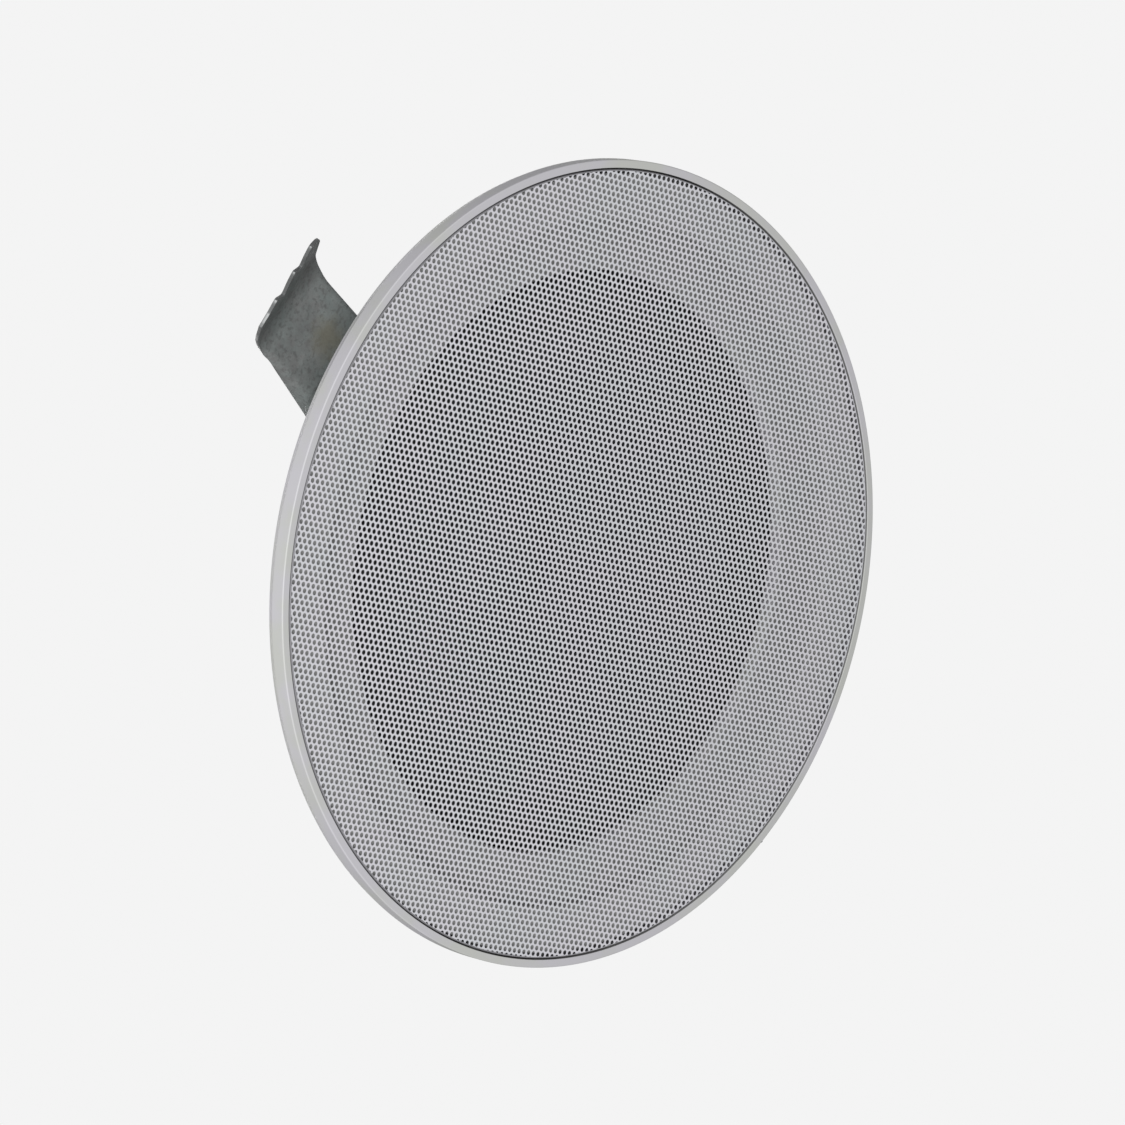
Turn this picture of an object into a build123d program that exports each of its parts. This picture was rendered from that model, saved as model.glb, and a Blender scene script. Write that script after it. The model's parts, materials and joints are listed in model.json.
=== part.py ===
from build123d import *
from math import atan2, cos, degrees, hypot, radians, sin, sqrt, tan
import os

# In-ceiling loudspeaker, in millimetres.
# Z = 0 is the back face of the rim, which meets the ceiling, and +Z points up into the ceiling void.
# +X points along the first clamp arm. The grille faces -Z.

# Front baffle: a moulding with outer rim, grille groove, stepped annulus and driver opening
rim_radius = 100.0
rim_back_radius = 99.4
rim_depth = 5.4
rim_rounding = 0.8
rim_back_inner_radius = 94.8
groove_outer_radius = 98.0
groove_inner_radius = 96.6
groove_floor_z = -1.6
annulus_front_z = -3.9
baffle_wall = 2.0
step_radius = 84.9
recess_front_z = 0.5
recess_back_z = 4.5
opening_radius = 72.4
edge_rounding = 1.0
trough_rib_count = 24
trough_rib_width = 1.6
trough_rib_drop = 0.4
trough_rib_overlap = 0.1

# Grille: a dished perforated sheet; its real holes are 1 mm wide, six times finer than these
grille_radius = 97.6
grille_sheet = 0.6
grille_centre_z = -4.15
grille_edge_z = -5.3
grille_skirt_z = -2.0
grille_roll = 1.0
fine_pitch = 1.648
pitch_ratio = 6
open_area = 0.35
row_angle = 32.66
hole_field_radius = 92.5

# Driver fixing circle and self-tapping screws
fixing_circle = 77.5
screw_radius = 1.6
screw_clearance_radius = 1.9
screw_head_radius = 3.4
screw_head_height = 2.2
screw_tip_z = 1.5
driver_screw_angles = [45, 135, 225, 315]
side_screw_offset = 13.8

# Driver basket, pressed steel
basket_sheet = 1.2
basket_flange_radius = 82.0
basket_flange_z = 5.3
basket_mouth_radius = 72.3
shelf_radius = 41.0
shelf_inner_radius = 36.0
shelf_z = 36.0
basket_floor_z = 46.0
basket_floor_radius = 34.5
basket_floor_hole = 14.5
window_count = 6
window_inner_radius = 45.0
window_outer_radius = 67.0
window_angle = 43.0
window_rounding = 4.0
window_margin = 1.0

# Gasket and surround
gasket_inner_radius = 74.2
gasket_outer_radius = 81.5
surround_sheet = 0.5
surround_lip_front_z = 4.7
surround_outer_radius = 73.9
roll_outer_radius = 70.9
roll_inner_radius = 60.5
roll_crest_z = 1.0
surround_inner_radius = 57.5

# Cone, dust cap, voice coil and spider
paper = 0.5
cone_rim_z = 5.3
cone_rim_radius = 60.2
cone_neck_z = 29.0
cone_bow_radius = 35.0
cone_bow_z = 15.6
dust_cap_place = 0.9
dust_cap_height = 5.5
former_inner_radius = 12.7
former_outer_radius = 13.0
former_front_z = 28.0
former_back_z = 52.0
winding_radius = 13.5
winding_front_z = 44.5
spider_outer_radius = 40.2
spider_sheet = 0.5
spider_wave_count = 4
spider_wave_height = 1.1
spider_inner_land = 2.0
spider_outer_land = 1.0

# Magnet system
top_plate_radius = 38.0
top_plate_thickness = 4.0
gap_outer_radius = 14.1
magnet_radius = 40.0
magnet_inner_radius = 22.0
magnet_thickness = 11.0
back_plate_thickness = 4.0
pole_radius = 12.2
vent_radius = 4.0
plate_chamfer = 1.0
plate_rivet_circle = 25.0
plate_rivet_radius = 2.0
plate_rivet_head_radius = 3.6
plate_rivet_head_height = 1.3
rivet_taper = 20

# Clamp arm: a channel of galvanised sheet with a serrated lip
hinge_x = 60.9
hinge_z = 30.6
arm_sheet = 1.0
arm_front_z = 25.8
arm_half_width = 12.8
arm_fold_radius = 2.2
arm_tail_x = 56.2
arm_eye_radius = 4.7
arm_plate_start_x = 71.9
arm_bend_x = 95.0
arm_bend_radius = 10.3
lip_angle = 47.2
lip_length = 15.7
lip_half_width = 13.5
tooth_depth = 6.6
tooth_pitch = 7.8
lip_corner_drop = 0.4
flange_end_x = 97.8
flange_taper = 0.263
arm_pin_hole_radius = 2.0

# Clamp bracket, hinge pin, retaining clip and torsion spring
bracket_sheet = 1.5
ear_inner_y = 13.1
ear_eye_radius = 5.5
ear_front_angle = 35.0
ear_top_angle = 135.0
ear_tail_angle = 210.0
stop_web_x = 76.0
stop_web_top_z = 25.5
foot_start_x = 71.8
foot_end_x = 79.0
foot_half_width = 23.5
foot_rounding = 2.0
pin_radius = 1.95
pin_head_radius = 3.6
pin_head_thickness = 1.2
pin_end_margin = 2.4
clip_groove_gap = 0.2
clip_play = 0.05
clip_groove_radius = 1.4
clip_radius = 4.0
clip_thickness = 0.7
clip_mouth = 2.0
spring_wire = 1.2
spring_radius = 3.0
spring_pitch = 1.35
spring_arm_leg = 22.0
spring_web_leg = 20.6
spring_leg_angle = 33.5
spring_turns = 5

# Component plate with transformer and terminal block
plate_sheet = 1.2
plate_web_y = 72.9
plate_shelf_z = 28.0
plate_shelf_start_y = 52.0
plate_foot_half_width = 23.5
plate_web_half_width = 14.0
plate_foot_end_y = 79.0
shelf_left_x = -27.0
shelf_right_x = 50.0
core_width = 35.0
core_height = 30.0
core_stack = 12.0
core_y = 62.0
limb_width = 10.0
yoke_width = 5.0
bobbin_flange = 1.0
bobbin_clearance = 0.2
tape_inset = 0.7
frame_side_inset = 1.0
coil_overhang = 4.6
frame_sheet = 0.8
frame_foot = 8.0
frame_rivet_radius = 1.5
frame_rivet_head_radius = 2.8
frame_rivet_head_height = 1.0
block_x = 38.0
block_width = 22.0
block_depth = 14.0
block_height = 12.0
block_y = 61.0
block_pole_pitch = 10.0
block_shoulder = 2.0
block_shoulder_height = 7.2
block_rounding = 1.0
block_screw_head_radius = 2.4
block_screw_head_height = 1.4
block_screw_tip = 1.0
wire_hole_radius = 1.75
wire_hole_depth = 8.0
wire_hole_z = 4.0
terminal_screw_radius = 1.5
terminal_screw_head_radius = 2.4
terminal_screw_head_height = 2.0
terminal_screw_length = 2.4
terminal_well_gap = 0.3
slot_width = 0.8
slot_depth = 0.8
terminal_well_depth = 3.0

# Tag strip, flexible leads and hook-up wires
tag_angle = 150.0
tag_z = 24.0
tag_board_length = 26.0
tag_board_width = 12.0
tag_board_thickness = 1.6
tag_board_gap = 0.05
tag_spacing = 17.0
tag_width = 4.0
tag_sheet = 0.6
tag_length = 15.0
tag_eye_radius = 0.8
tag_eye_inset = 2.0
board_rounding = 1.0
tag_rivet_radius = 1.5
tag_rivet_head_radius = 2.6
tag_rivet_head_height = 0.9
lead_radius = 0.6
flex_radius = 0.5
eyelet_place = 0.68
lead_exit_z = 47.0
lead_stub = 6.0
speaker_lead_starts = [-6.0, -9.5]
line_lead_ends = [5.5, 9.0]
# Radius, angle from the tag strip and height of each flexible lead's corners
flex_route = [(65.3, 9.0, 14.3), (61.0, 9.3, 11.3), (52.0, 9.5, 15.0), (42.0, 9.0, 21.0)]
flex_end_angle = 10.0

os.makedirs("parts", exist_ok=True)


def polar(radius, angle):
    """Return the X and Y of a point at a radius and an angle in degrees."""
    return radius * cos(radians(angle)), radius * sin(radians(angle))


def nearest_corner(sketch, x, y):
    """Return the corner of a sketch that lies nearest to a local point."""
    return sketch.vertices().sort_by_distance((x, y, 0))[0]


def basket_outer_radius(z):
    """Return the radius of the basket's conical outer wall at a height."""
    mouth_z = basket_flange_z + basket_sheet
    slope = (basket_mouth_radius - shelf_radius) / (shelf_z - mouth_z)
    return basket_mouth_radius - (z - mouth_z) * slope


def cone_arc(lift):
    """Return the three points of the cone's curved side, lifted by a thickness."""
    start = (surround_inner_radius, cone_rim_z + lift)
    middle = (cone_bow_radius, cone_bow_z + lift)
    end = (former_outer_radius, cone_neck_z + lift)
    return start, middle, end


def wire_radii(points):
    """Return the largest smooth bend radius for each inner corner of a wire's route."""
    radii = []
    for before, corner, after in zip(points, points[1:], points[2:]):
        run_in = Vector(*corner) - Vector(*before)
        run_out = Vector(*after) - Vector(*corner)
        turn = radians(run_in.get_angle(run_out))
        radii.append(0.45 * min(run_in.length, run_out.length) / tan(turn / 2))
    return radii


# Angles of every screw that goes through the driver's flange
bracket_screw_angles = [turn + side * side_screw_offset for turn in (0, 180) for side in (-1, 1)]
plate_screw_angles = [90 + side * side_screw_offset for side in (-1, 1)]
all_screw_angles = driver_screw_angles + bracket_screw_angles + plate_screw_angles
all_screw_points = [polar(fixing_circle, angle) for angle in all_screw_angles]
flange_back_z = basket_flange_z + basket_sheet

# Front baffle
with BuildPart() as front_baffle:
    with BuildSketch(Plane.XZ) as baffle_section:
        with BuildLine():
            Polyline(
                (rim_back_radius, 0),
                (rim_radius, -rim_depth + 2 * rim_rounding),
                (rim_radius, -rim_depth),
                (groove_outer_radius, -rim_depth),
                (groove_outer_radius, groove_floor_z),
                (groove_inner_radius, groove_floor_z),
                (groove_inner_radius, annulus_front_z),
                (step_radius, annulus_front_z),
                (step_radius, recess_front_z),
                (opening_radius, recess_front_z),
                (opening_radius, recess_back_z),
                (step_radius + baffle_wall, recess_back_z),
                (step_radius + baffle_wall, annulus_front_z + baffle_wall),
                (rim_back_inner_radius, annulus_front_z + baffle_wall),
                (rim_back_inner_radius, 0),
                close=True,
            )
        make_face()
        fillet(nearest_corner(baffle_section, rim_radius, -rim_depth), rim_rounding)
        fillet(nearest_corner(baffle_section, groove_outer_radius, -rim_depth), rim_rounding / 3)
        fillet(nearest_corner(baffle_section, step_radius, annulus_front_z), edge_rounding)
        fillet(nearest_corner(baffle_section, opening_radius, recess_front_z), edge_rounding)
        fillet(nearest_corner(baffle_section, step_radius + baffle_wall, recess_back_z), edge_rounding)
    revolve(axis=Axis.Z)
    trough_width = rim_back_inner_radius - step_radius - baffle_wall
    with BuildSketch(Plane.XY.offset(annulus_front_z + baffle_wall)):
        with PolarLocations(0, trough_rib_count):
            with Locations(((step_radius + baffle_wall + rim_back_inner_radius) / 2, 0)):
                Rectangle(trough_width + 2 * trough_rib_overlap, trough_rib_width)
    extrude(amount=-annulus_front_z - baffle_wall - trough_rib_drop)
    with BuildSketch(Plane.XY.offset(recess_back_z)):
        with Locations(*all_screw_points):
            Circle(screw_radius)
    extrude(amount=screw_tip_z - recess_back_z, mode=Mode.SUBTRACT)
front_baffle.part.label = "front_baffle"
export_step(front_baffle.part, "parts/front_baffle.step")

# Perforated grille: a shallow dish with its edge rolled back into the groove
hole_pitch = pitch_ratio * fine_pitch
hole_flat_radius = hole_pitch * sqrt(open_area) / 2
row_count = int(hole_field_radius / hole_pitch) * 2
hole_centres = []
for row in range(-row_count, row_count + 1):
    for column in range(-row_count, row_count + 1):
        x = hole_pitch * (column + row / 2)
        y = hole_pitch * row * sqrt(3) / 2
        if hypot(x, y) < hole_field_radius:
            hole_centres.append(polar(hypot(x, y), degrees(atan2(y, x)) + row_angle))


def dish_z(radius):
    """Return the height of the grille's front surface at a radius."""
    return grille_centre_z + (grille_edge_z - grille_centre_z) * (radius / grille_radius) ** 2


with BuildPart() as perforated_grille:
    with BuildSketch(Plane.XZ) as grille_section:
        with BuildLine():
            ThreePointArc(
                (0, grille_centre_z),
                (grille_radius / 2, dish_z(grille_radius / 2)),
                (grille_radius, grille_edge_z),
            )
            Polyline(
                (grille_radius, grille_edge_z),
                (grille_radius, grille_skirt_z),
                (grille_radius - grille_sheet, grille_skirt_z),
                (grille_radius - grille_sheet, grille_edge_z + grille_sheet),
            )
            ThreePointArc(
                (grille_radius - grille_sheet, grille_edge_z + grille_sheet),
                (grille_radius / 2, dish_z(grille_radius / 2) + grille_sheet),
                (0, grille_centre_z + grille_sheet),
            )
            Line((0, grille_centre_z + grille_sheet), (0, grille_centre_z))
        make_face()
        fillet(nearest_corner(grille_section, grille_radius, grille_edge_z), grille_roll)
        inner_corner = nearest_corner(grille_section, grille_radius - grille_sheet, grille_edge_z + grille_sheet)
        fillet(inner_corner, grille_roll - grille_sheet)
    revolve(axis=Axis.Z)
    with BuildSketch(Plane.XY.offset(grille_edge_z)):
        with Locations(*hole_centres):
            RegularPolygon(hole_flat_radius, 6, major_radius=False, rotation=row_angle + 30)
    extrude(amount=grille_skirt_z - grille_edge_z, mode=Mode.SUBTRACT)
perforated_grille.part.label = "perforated_grille"
export_step(perforated_grille.part, "parts/perforated_grille.step")

# Driver gasket
with BuildPart() as driver_gasket:
    with BuildSketch(Plane.XY.offset(recess_back_z)):
        Circle(gasket_outer_radius)
        Circle(gasket_inner_radius, mode=Mode.SUBTRACT)
        with Locations(*all_screw_points):
            Circle(screw_clearance_radius, mode=Mode.SUBTRACT)
    extrude(amount=basket_flange_z - recess_back_z)
driver_gasket.part.label = "driver_gasket"
export_step(driver_gasket.part, "parts/driver_gasket.step")

# Driver basket: flange, conical wall with windows, spider shelf and floor
wall_run = basket_mouth_radius - shelf_radius
wall_rise = shelf_z - flange_back_z
wall_shift = basket_sheet * (hypot(wall_run, wall_rise) - wall_run) / wall_rise
# Plane on the basket's wall where the tag strip sits
wall_angle = degrees(atan2(wall_run, wall_rise))
tag_radius = basket_outer_radius(tag_z)
tag_plane = Plane(
    origin=(*polar(tag_radius, tag_angle), tag_z),
    x_dir=(-sin(radians(tag_angle)), cos(radians(tag_angle)), 0),
    z_dir=(
        cos(radians(wall_angle)) * cos(radians(tag_angle)),
        cos(radians(wall_angle)) * sin(radians(tag_angle)),
        sin(radians(wall_angle)),
    ),
)
with BuildPart() as driver_basket:
    with BuildSketch(Plane.XZ):
        with BuildLine():
            Polyline(
                (basket_flange_radius, flange_back_z),
                (basket_mouth_radius, flange_back_z),
                (shelf_radius, shelf_z),
                (shelf_inner_radius, shelf_z),
                (basket_floor_radius, basket_floor_z),
                (basket_floor_hole, basket_floor_z),
                (basket_floor_hole, basket_floor_z - basket_sheet),
                (basket_floor_radius - basket_sheet, basket_floor_z - basket_sheet),
                (shelf_inner_radius - basket_sheet, shelf_z - basket_sheet),
                (shelf_radius - wall_shift, shelf_z - basket_sheet),
                (basket_mouth_radius - wall_shift, basket_flange_z),
                (basket_flange_radius, basket_flange_z),
                close=True,
            )
        make_face()
    revolve(axis=Axis.Z)
    spoke_half_width = window_inner_radius * sin(radians(180 / window_count - window_angle / 2))
    with BuildSketch(Plane.XY.offset(flange_back_z + window_margin)) as window_sketch:
        Circle(window_outer_radius)
        Circle(window_inner_radius, mode=Mode.SUBTRACT)
        with PolarLocations(0, window_count, start_angle=180 / window_count):
            Rectangle(
                2 * window_outer_radius,
                2 * spoke_half_width,
                align=(Align.MIN, Align.CENTER),
                mode=Mode.SUBTRACT,
            )
        fillet(window_sketch.vertices(), window_rounding)
    extrude(amount=shelf_z - basket_sheet - flange_back_z - 2 * window_margin, mode=Mode.SUBTRACT)
    with BuildSketch(Plane.XY.offset(flange_back_z)):
        with Locations(*all_screw_points):
            Circle(screw_clearance_radius)
    extrude(amount=-basket_sheet, mode=Mode.SUBTRACT)
    with BuildSketch(Plane.XY.offset(basket_floor_z)):
        with PolarLocations(plate_rivet_circle, 4):
            Circle(plate_rivet_radius)
    extrude(amount=-basket_sheet, mode=Mode.SUBTRACT)
    with BuildSketch(tag_plane):
        Circle(tag_rivet_radius)
    extrude(amount=basket_sheet, both=True, mode=Mode.SUBTRACT)
driver_basket.part.label = "driver_basket"
export_step(driver_basket.part, "parts/driver_basket.step")

# Surround: outer lip, half roll and inner lip
roll_middle = (roll_outer_radius + roll_inner_radius) / 2
surround_back_z = surround_lip_front_z + surround_sheet
with BuildPart() as surround:
    with BuildSketch(Plane.XZ):
        with BuildLine():
            Line((surround_outer_radius, surround_lip_front_z), (roll_outer_radius, surround_lip_front_z))
            ThreePointArc(
                (roll_outer_radius, surround_lip_front_z),
                (roll_middle, roll_crest_z),
                (roll_inner_radius, surround_lip_front_z),
            )
            Polyline(
                (roll_inner_radius, surround_lip_front_z),
                (surround_inner_radius, surround_lip_front_z),
                (surround_inner_radius, surround_back_z),
                (roll_inner_radius + surround_sheet, surround_back_z),
            )
            ThreePointArc(
                (roll_inner_radius + surround_sheet, surround_back_z),
                (roll_middle, roll_crest_z + surround_sheet),
                (roll_outer_radius - surround_sheet, surround_back_z),
            )
            Polyline(
                (roll_outer_radius - surround_sheet, surround_back_z),
                (surround_outer_radius, surround_back_z),
                (surround_outer_radius, surround_lip_front_z),
            )
        make_face()
    revolve(axis=Axis.Z)
surround.part.label = "surround"
export_step(surround.part, "parts/surround.step")

# Cone: a slightly bowed paper shell with a flat rim
front_side = cone_arc(0)
back_side = cone_arc(paper)
with BuildPart() as cone:
    with BuildSketch(Plane.XZ):
        with BuildLine():
            Polyline(
                (cone_rim_radius, cone_rim_z + paper),
                (cone_rim_radius, cone_rim_z),
                front_side[0],
            )
            ThreePointArc(*front_side)
            Line(front_side[2], back_side[2])
            ThreePointArc(*back_side)
            Line(back_side[0], (cone_rim_radius, cone_rim_z + paper))
        make_face()
    revolve(axis=Axis.Z)
cone.part.label = "cone"
export_step(cone.part, "parts/cone.step")

# Dust cap: a thin dome glued inside the cone
cap_seat = ThreePointArc(*front_side) @ dust_cap_place
cap_front_z = cap_seat.Y - dust_cap_height
cap_sphere = (cap_seat.X**2 + dust_cap_height**2) / (2 * dust_cap_height)
with BuildPart() as dust_cap:
    with BuildSketch(Plane.XZ) as cap_section:
        with Locations((0, cap_front_z + cap_sphere)):
            Circle(cap_sphere)
            Circle(cap_sphere - paper, mode=Mode.SUBTRACT)
        with Locations((0, cap_front_z)):
            Rectangle(
                cap_seat.X,
                dust_cap_height,
                align=(Align.MIN, Align.MIN),
                mode=Mode.INTERSECT,
            )
    revolve(axis=Axis.Z)
dust_cap.part.label = "dust_cap"
export_step(dust_cap.part, "parts/dust_cap.step")

# Voice coil former
with BuildPart() as voice_coil_former:
    with BuildSketch(Plane.XY.offset(former_front_z)):
        Circle(former_outer_radius)
        Circle(former_inner_radius, mode=Mode.SUBTRACT)
    extrude(amount=former_back_z - former_front_z)
voice_coil_former.part.label = "voice_coil_former"
export_step(voice_coil_former.part, "parts/voice_coil_former.step")

# Voice coil winding
with BuildPart() as voice_coil_winding:
    with BuildSketch(Plane.XY.offset(winding_front_z)):
        Circle(winding_radius)
        Circle(former_outer_radius, mode=Mode.SUBTRACT)
    extrude(amount=former_back_z - winding_front_z)
voice_coil_winding.part.label = "voice_coil_winding"
export_step(voice_coil_winding.part, "parts/voice_coil_winding.step")

# Spider: a corrugated disc between the former and the basket's shelf
spider_back_z = shelf_z - basket_sheet
spider_front_z = spider_back_z - spider_sheet
wave_start = former_outer_radius + spider_inner_land
wave_end = shelf_inner_radius - basket_sheet - spider_outer_land
wave_length = (wave_end - wave_start) / spider_wave_count
wave_points = [(former_outer_radius, spider_front_z), (wave_start, spider_front_z)]
for wave in range(spider_wave_count):
    wave_points.append((wave_start + wave_length * (wave + 0.25), spider_front_z - spider_wave_height))
    wave_points.append((wave_start + wave_length * (wave + 0.75), spider_front_z + spider_wave_height))
wave_points += [(wave_end, spider_front_z), (spider_outer_radius, spider_front_z)]
wave_back = [(radius, z + spider_sheet) for radius, z in reversed(wave_points)]
with BuildPart() as spider:
    with BuildSketch(Plane.XZ):
        with BuildLine():
            Polyline(*wave_points, *wave_back, close=True)
        make_face()
    revolve(axis=Axis.Z)
spider.part.label = "spider"
export_step(spider.part, "parts/spider.step")

# Front pole plate
with BuildPart() as top_plate:
    with BuildSketch(Plane.XY.offset(basket_floor_z)):
        Circle(top_plate_radius)
        Circle(gap_outer_radius, mode=Mode.SUBTRACT)
        with PolarLocations(plate_rivet_circle, 4):
            Circle(plate_rivet_radius, mode=Mode.SUBTRACT)
    extrude(amount=top_plate_thickness)
top_plate.part.label = "top_plate"
export_step(top_plate.part, "parts/top_plate.step")

# Rivets that hold the basket to the front pole plate
with BuildPart() as plate_rivets:
    with BuildSketch(Plane.XY.offset(basket_floor_z - basket_sheet)):
        with PolarLocations(plate_rivet_circle, 4):
            Circle(plate_rivet_radius)
    extrude(amount=basket_sheet + top_plate_thickness)
    with BuildSketch(Plane.XY.offset(basket_floor_z - basket_sheet)):
        with PolarLocations(plate_rivet_circle, 4):
            Circle(plate_rivet_head_radius)
    extrude(amount=-plate_rivet_head_height, taper=rivet_taper)
plate_rivets.part.label = "plate_rivets"
export_step(plate_rivets.part, "parts/plate_rivets.step")

# Ring magnet
magnet_front_z = basket_floor_z + top_plate_thickness
magnet_back_z = magnet_front_z + magnet_thickness
with BuildPart() as magnet:
    with BuildSketch(Plane.XY.offset(magnet_front_z)):
        Circle(magnet_radius)
        Circle(magnet_inner_radius, mode=Mode.SUBTRACT)
    extrude(amount=magnet_thickness)
    rim_edges = magnet.edges().filter_by(GeomType.CIRCLE).group_by(SortBy.RADIUS)[-1]
    chamfer(rim_edges, plate_chamfer)
magnet.part.label = "magnet"
export_step(magnet.part, "parts/magnet.step")

# Back plate with its pole piece
with BuildPart() as back_plate:
    with BuildSketch(Plane.XY.offset(magnet_back_z)):
        Circle(top_plate_radius)
    extrude(amount=back_plate_thickness)
    with BuildSketch(Plane.XY.offset(basket_floor_z)):
        Circle(pole_radius)
    extrude(amount=magnet_back_z - basket_floor_z)
    with BuildSketch(Plane.XY.offset(basket_floor_z)):
        Circle(vent_radius)
    extrude(amount=magnet_back_z + back_plate_thickness - basket_floor_z, mode=Mode.SUBTRACT)
    back_edges = back_plate.edges().filter_by(GeomType.CIRCLE).group_by(Axis.Z)[-1]
    chamfer(back_edges.sort_by(SortBy.RADIUS)[-1], plate_chamfer)
back_plate.part.label = "back_plate"
export_step(back_plate.part, "parts/back_plate.step")


def screw_group(angles, seat_z):
    """Return pan-head self-tapping screws on the fixing circle, seated at a height."""
    with BuildPart() as screws:
        with BuildSketch(Plane.XY.offset(screw_tip_z)):
            with Locations(*[polar(fixing_circle, angle) for angle in angles]):
                Circle(screw_radius)
        extrude(amount=seat_z - screw_tip_z)
        with BuildSketch(Plane.XY.offset(seat_z)):
            with Locations(*[polar(fixing_circle, angle) for angle in angles]):
                Circle(screw_head_radius)
        extrude(amount=screw_head_height)
        top_edges = screws.edges().filter_by(GeomType.CIRCLE).group_by(Axis.Z)[-1]
        fillet(top_edges, screw_head_height / 2)
        with BuildSketch(Plane.XY.offset(seat_z + screw_head_height)):
            with Locations(*[polar(fixing_circle, angle) for angle in angles]):
                Rectangle(screw_head_radius, screw_radius / 2)
                Rectangle(screw_radius / 2, screw_head_radius)
        extrude(amount=-screw_head_height / 2, mode=Mode.SUBTRACT)
    return screws.part


# Driver fixing screws
with BuildPart() as driver_screws:
    add(screw_group(driver_screw_angles, flange_back_z))
driver_screws.part.label = "driver_screws"
export_step(driver_screws.part, "parts/driver_screws.step")

# Clamp bracket fixing screws
with BuildPart() as bracket_screws:
    add(screw_group(bracket_screw_angles, flange_back_z + bracket_sheet))
bracket_screws.part.label = "bracket_screws"
export_step(bracket_screws.part, "parts/bracket_screws.step")

# Component plate fixing screws
with BuildPart() as component_plate_screws:
    add(screw_group(plate_screw_angles, flange_back_z + plate_sheet))
component_plate_screws.part.label = "component_plate_screws"
export_step(component_plate_screws.part, "parts/component_plate_screws.step")

# Clamp arm on the +X side: a channel with eyes for the hinge pin, a curved lip and three teeth
eye_rise = sqrt(arm_eye_radius**2 - (arm_eye_radius / 2) ** 2)
bend = radians(lip_angle)
bend_end_x = arm_bend_x + arm_bend_radius * sin(bend)
bend_end_z = arm_front_z - arm_bend_radius * (1 - cos(bend))
lip_end_x = bend_end_x + lip_length * cos(bend)
lip_end_z = bend_end_z - lip_length * sin(bend)
sheet_shift_x = arm_sheet * sin(bend)
sheet_shift_z = arm_sheet * cos(bend)
bend_middle_x = arm_bend_x + arm_bend_radius * sin(bend / 2)
bend_middle_z = arm_front_z - arm_bend_radius * (1 - cos(bend / 2))
lip_plane = Plane(
    origin=(bend_end_x, 0, bend_end_z),
    x_dir=(cos(bend), 0, -sin(bend)),
    z_dir=(sin(bend), 0, cos(bend)),
)
tooth_tips = [(lip_length, tooth_pitch * place) for place in (-1, 0, 1)]
tooth_roots = [(lip_length - tooth_depth, tooth_pitch * place) for place in (-0.5, 0.5)]
lip_corner = lip_length - tooth_depth - lip_corner_drop
with BuildPart() as clamp_arm_right:
    with BuildSketch(Plane.YZ.offset(arm_tail_x)) as channel_section:
        with Locations((0, arm_front_z)):
            Rectangle(2 * arm_half_width, 2 * arm_half_width, align=(Align.CENTER, Align.MIN))
        fillet(channel_section.vertices().group_by(Axis.Y)[0], arm_fold_radius)
        with Locations((0, arm_front_z + arm_sheet)):
            Rectangle(
                2 * (arm_half_width - arm_sheet),
                2 * arm_half_width,
                align=(Align.CENTER, Align.MIN),
                mode=Mode.SUBTRACT,
            )
    extrude(amount=arm_bend_x - arm_tail_x)
    with BuildSketch(Plane.XZ.offset(-arm_half_width)):
        with BuildLine():
            Polyline(
                (arm_tail_x, hinge_z),
                (arm_tail_x, arm_front_z),
                (arm_bend_x, arm_front_z),
                (arm_bend_x, arm_front_z + arm_sheet),
                (flange_end_x - arm_sheet / flange_taper, arm_front_z + arm_sheet),
                (hinge_x + arm_eye_radius / 2, hinge_z + eye_rise),
            )
            RadiusArc(
                (hinge_x + arm_eye_radius / 2, hinge_z + eye_rise),
                (arm_tail_x, hinge_z),
                -arm_eye_radius,
            )
        make_face()
    extrude(amount=2 * arm_half_width, mode=Mode.INTERSECT)
    with BuildSketch(Plane.XY.offset(arm_front_z)):
        with Locations((arm_tail_x, 0)):
            Rectangle(
                arm_plate_start_x - arm_tail_x,
                2 * (arm_half_width - arm_sheet),
                align=(Align.MIN, Align.CENTER),
            )
    extrude(amount=arm_sheet, mode=Mode.SUBTRACT)
    with BuildSketch(Plane.XZ.offset(-lip_half_width)):
        with BuildLine():
            ThreePointArc(
                (arm_bend_x, arm_front_z),
                (bend_middle_x, bend_middle_z),
                (bend_end_x, bend_end_z),
            )
            Polyline(
                (bend_end_x, bend_end_z),
                (lip_end_x, lip_end_z),
                (lip_end_x + sheet_shift_x, lip_end_z + sheet_shift_z),
                (bend_end_x + sheet_shift_x, bend_end_z + sheet_shift_z),
            )
            ThreePointArc(
                (bend_end_x + sheet_shift_x, bend_end_z + sheet_shift_z),
                (
                    bend_middle_x + arm_sheet * sin(bend / 2),
                    bend_middle_z + arm_sheet * cos(bend / 2),
                ),
                (arm_bend_x, arm_front_z + arm_sheet),
            )
            Line((arm_bend_x, arm_front_z + arm_sheet), (arm_bend_x, arm_front_z))
        make_face()
    extrude(amount=2 * lip_half_width)
    with BuildSketch(lip_plane.offset(-arm_sheet)):
        with BuildLine():
            Polyline(
                (lip_corner, -lip_half_width - 1),
                (lip_corner, -lip_half_width),
                tooth_tips[0],
                tooth_roots[0],
                tooth_tips[1],
                tooth_roots[1],
                tooth_tips[2],
                (lip_corner, lip_half_width),
                (lip_corner, lip_half_width + 1),
                (lip_length + 1, lip_half_width + 1),
                (lip_length + 1, -lip_half_width - 1),
                close=True,
            )
        make_face()
    extrude(amount=3 * arm_sheet, mode=Mode.SUBTRACT)
    with BuildSketch(Plane.XZ.offset(-arm_half_width)):
        with Locations((hinge_x, hinge_z)):
            Circle(arm_pin_hole_radius)
    extrude(amount=2 * arm_half_width, mode=Mode.SUBTRACT)
clamp_arm_right.part.label = "clamp_arm_right"
export_step(clamp_arm_right.part, "parts/clamp_arm_right.step")

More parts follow.
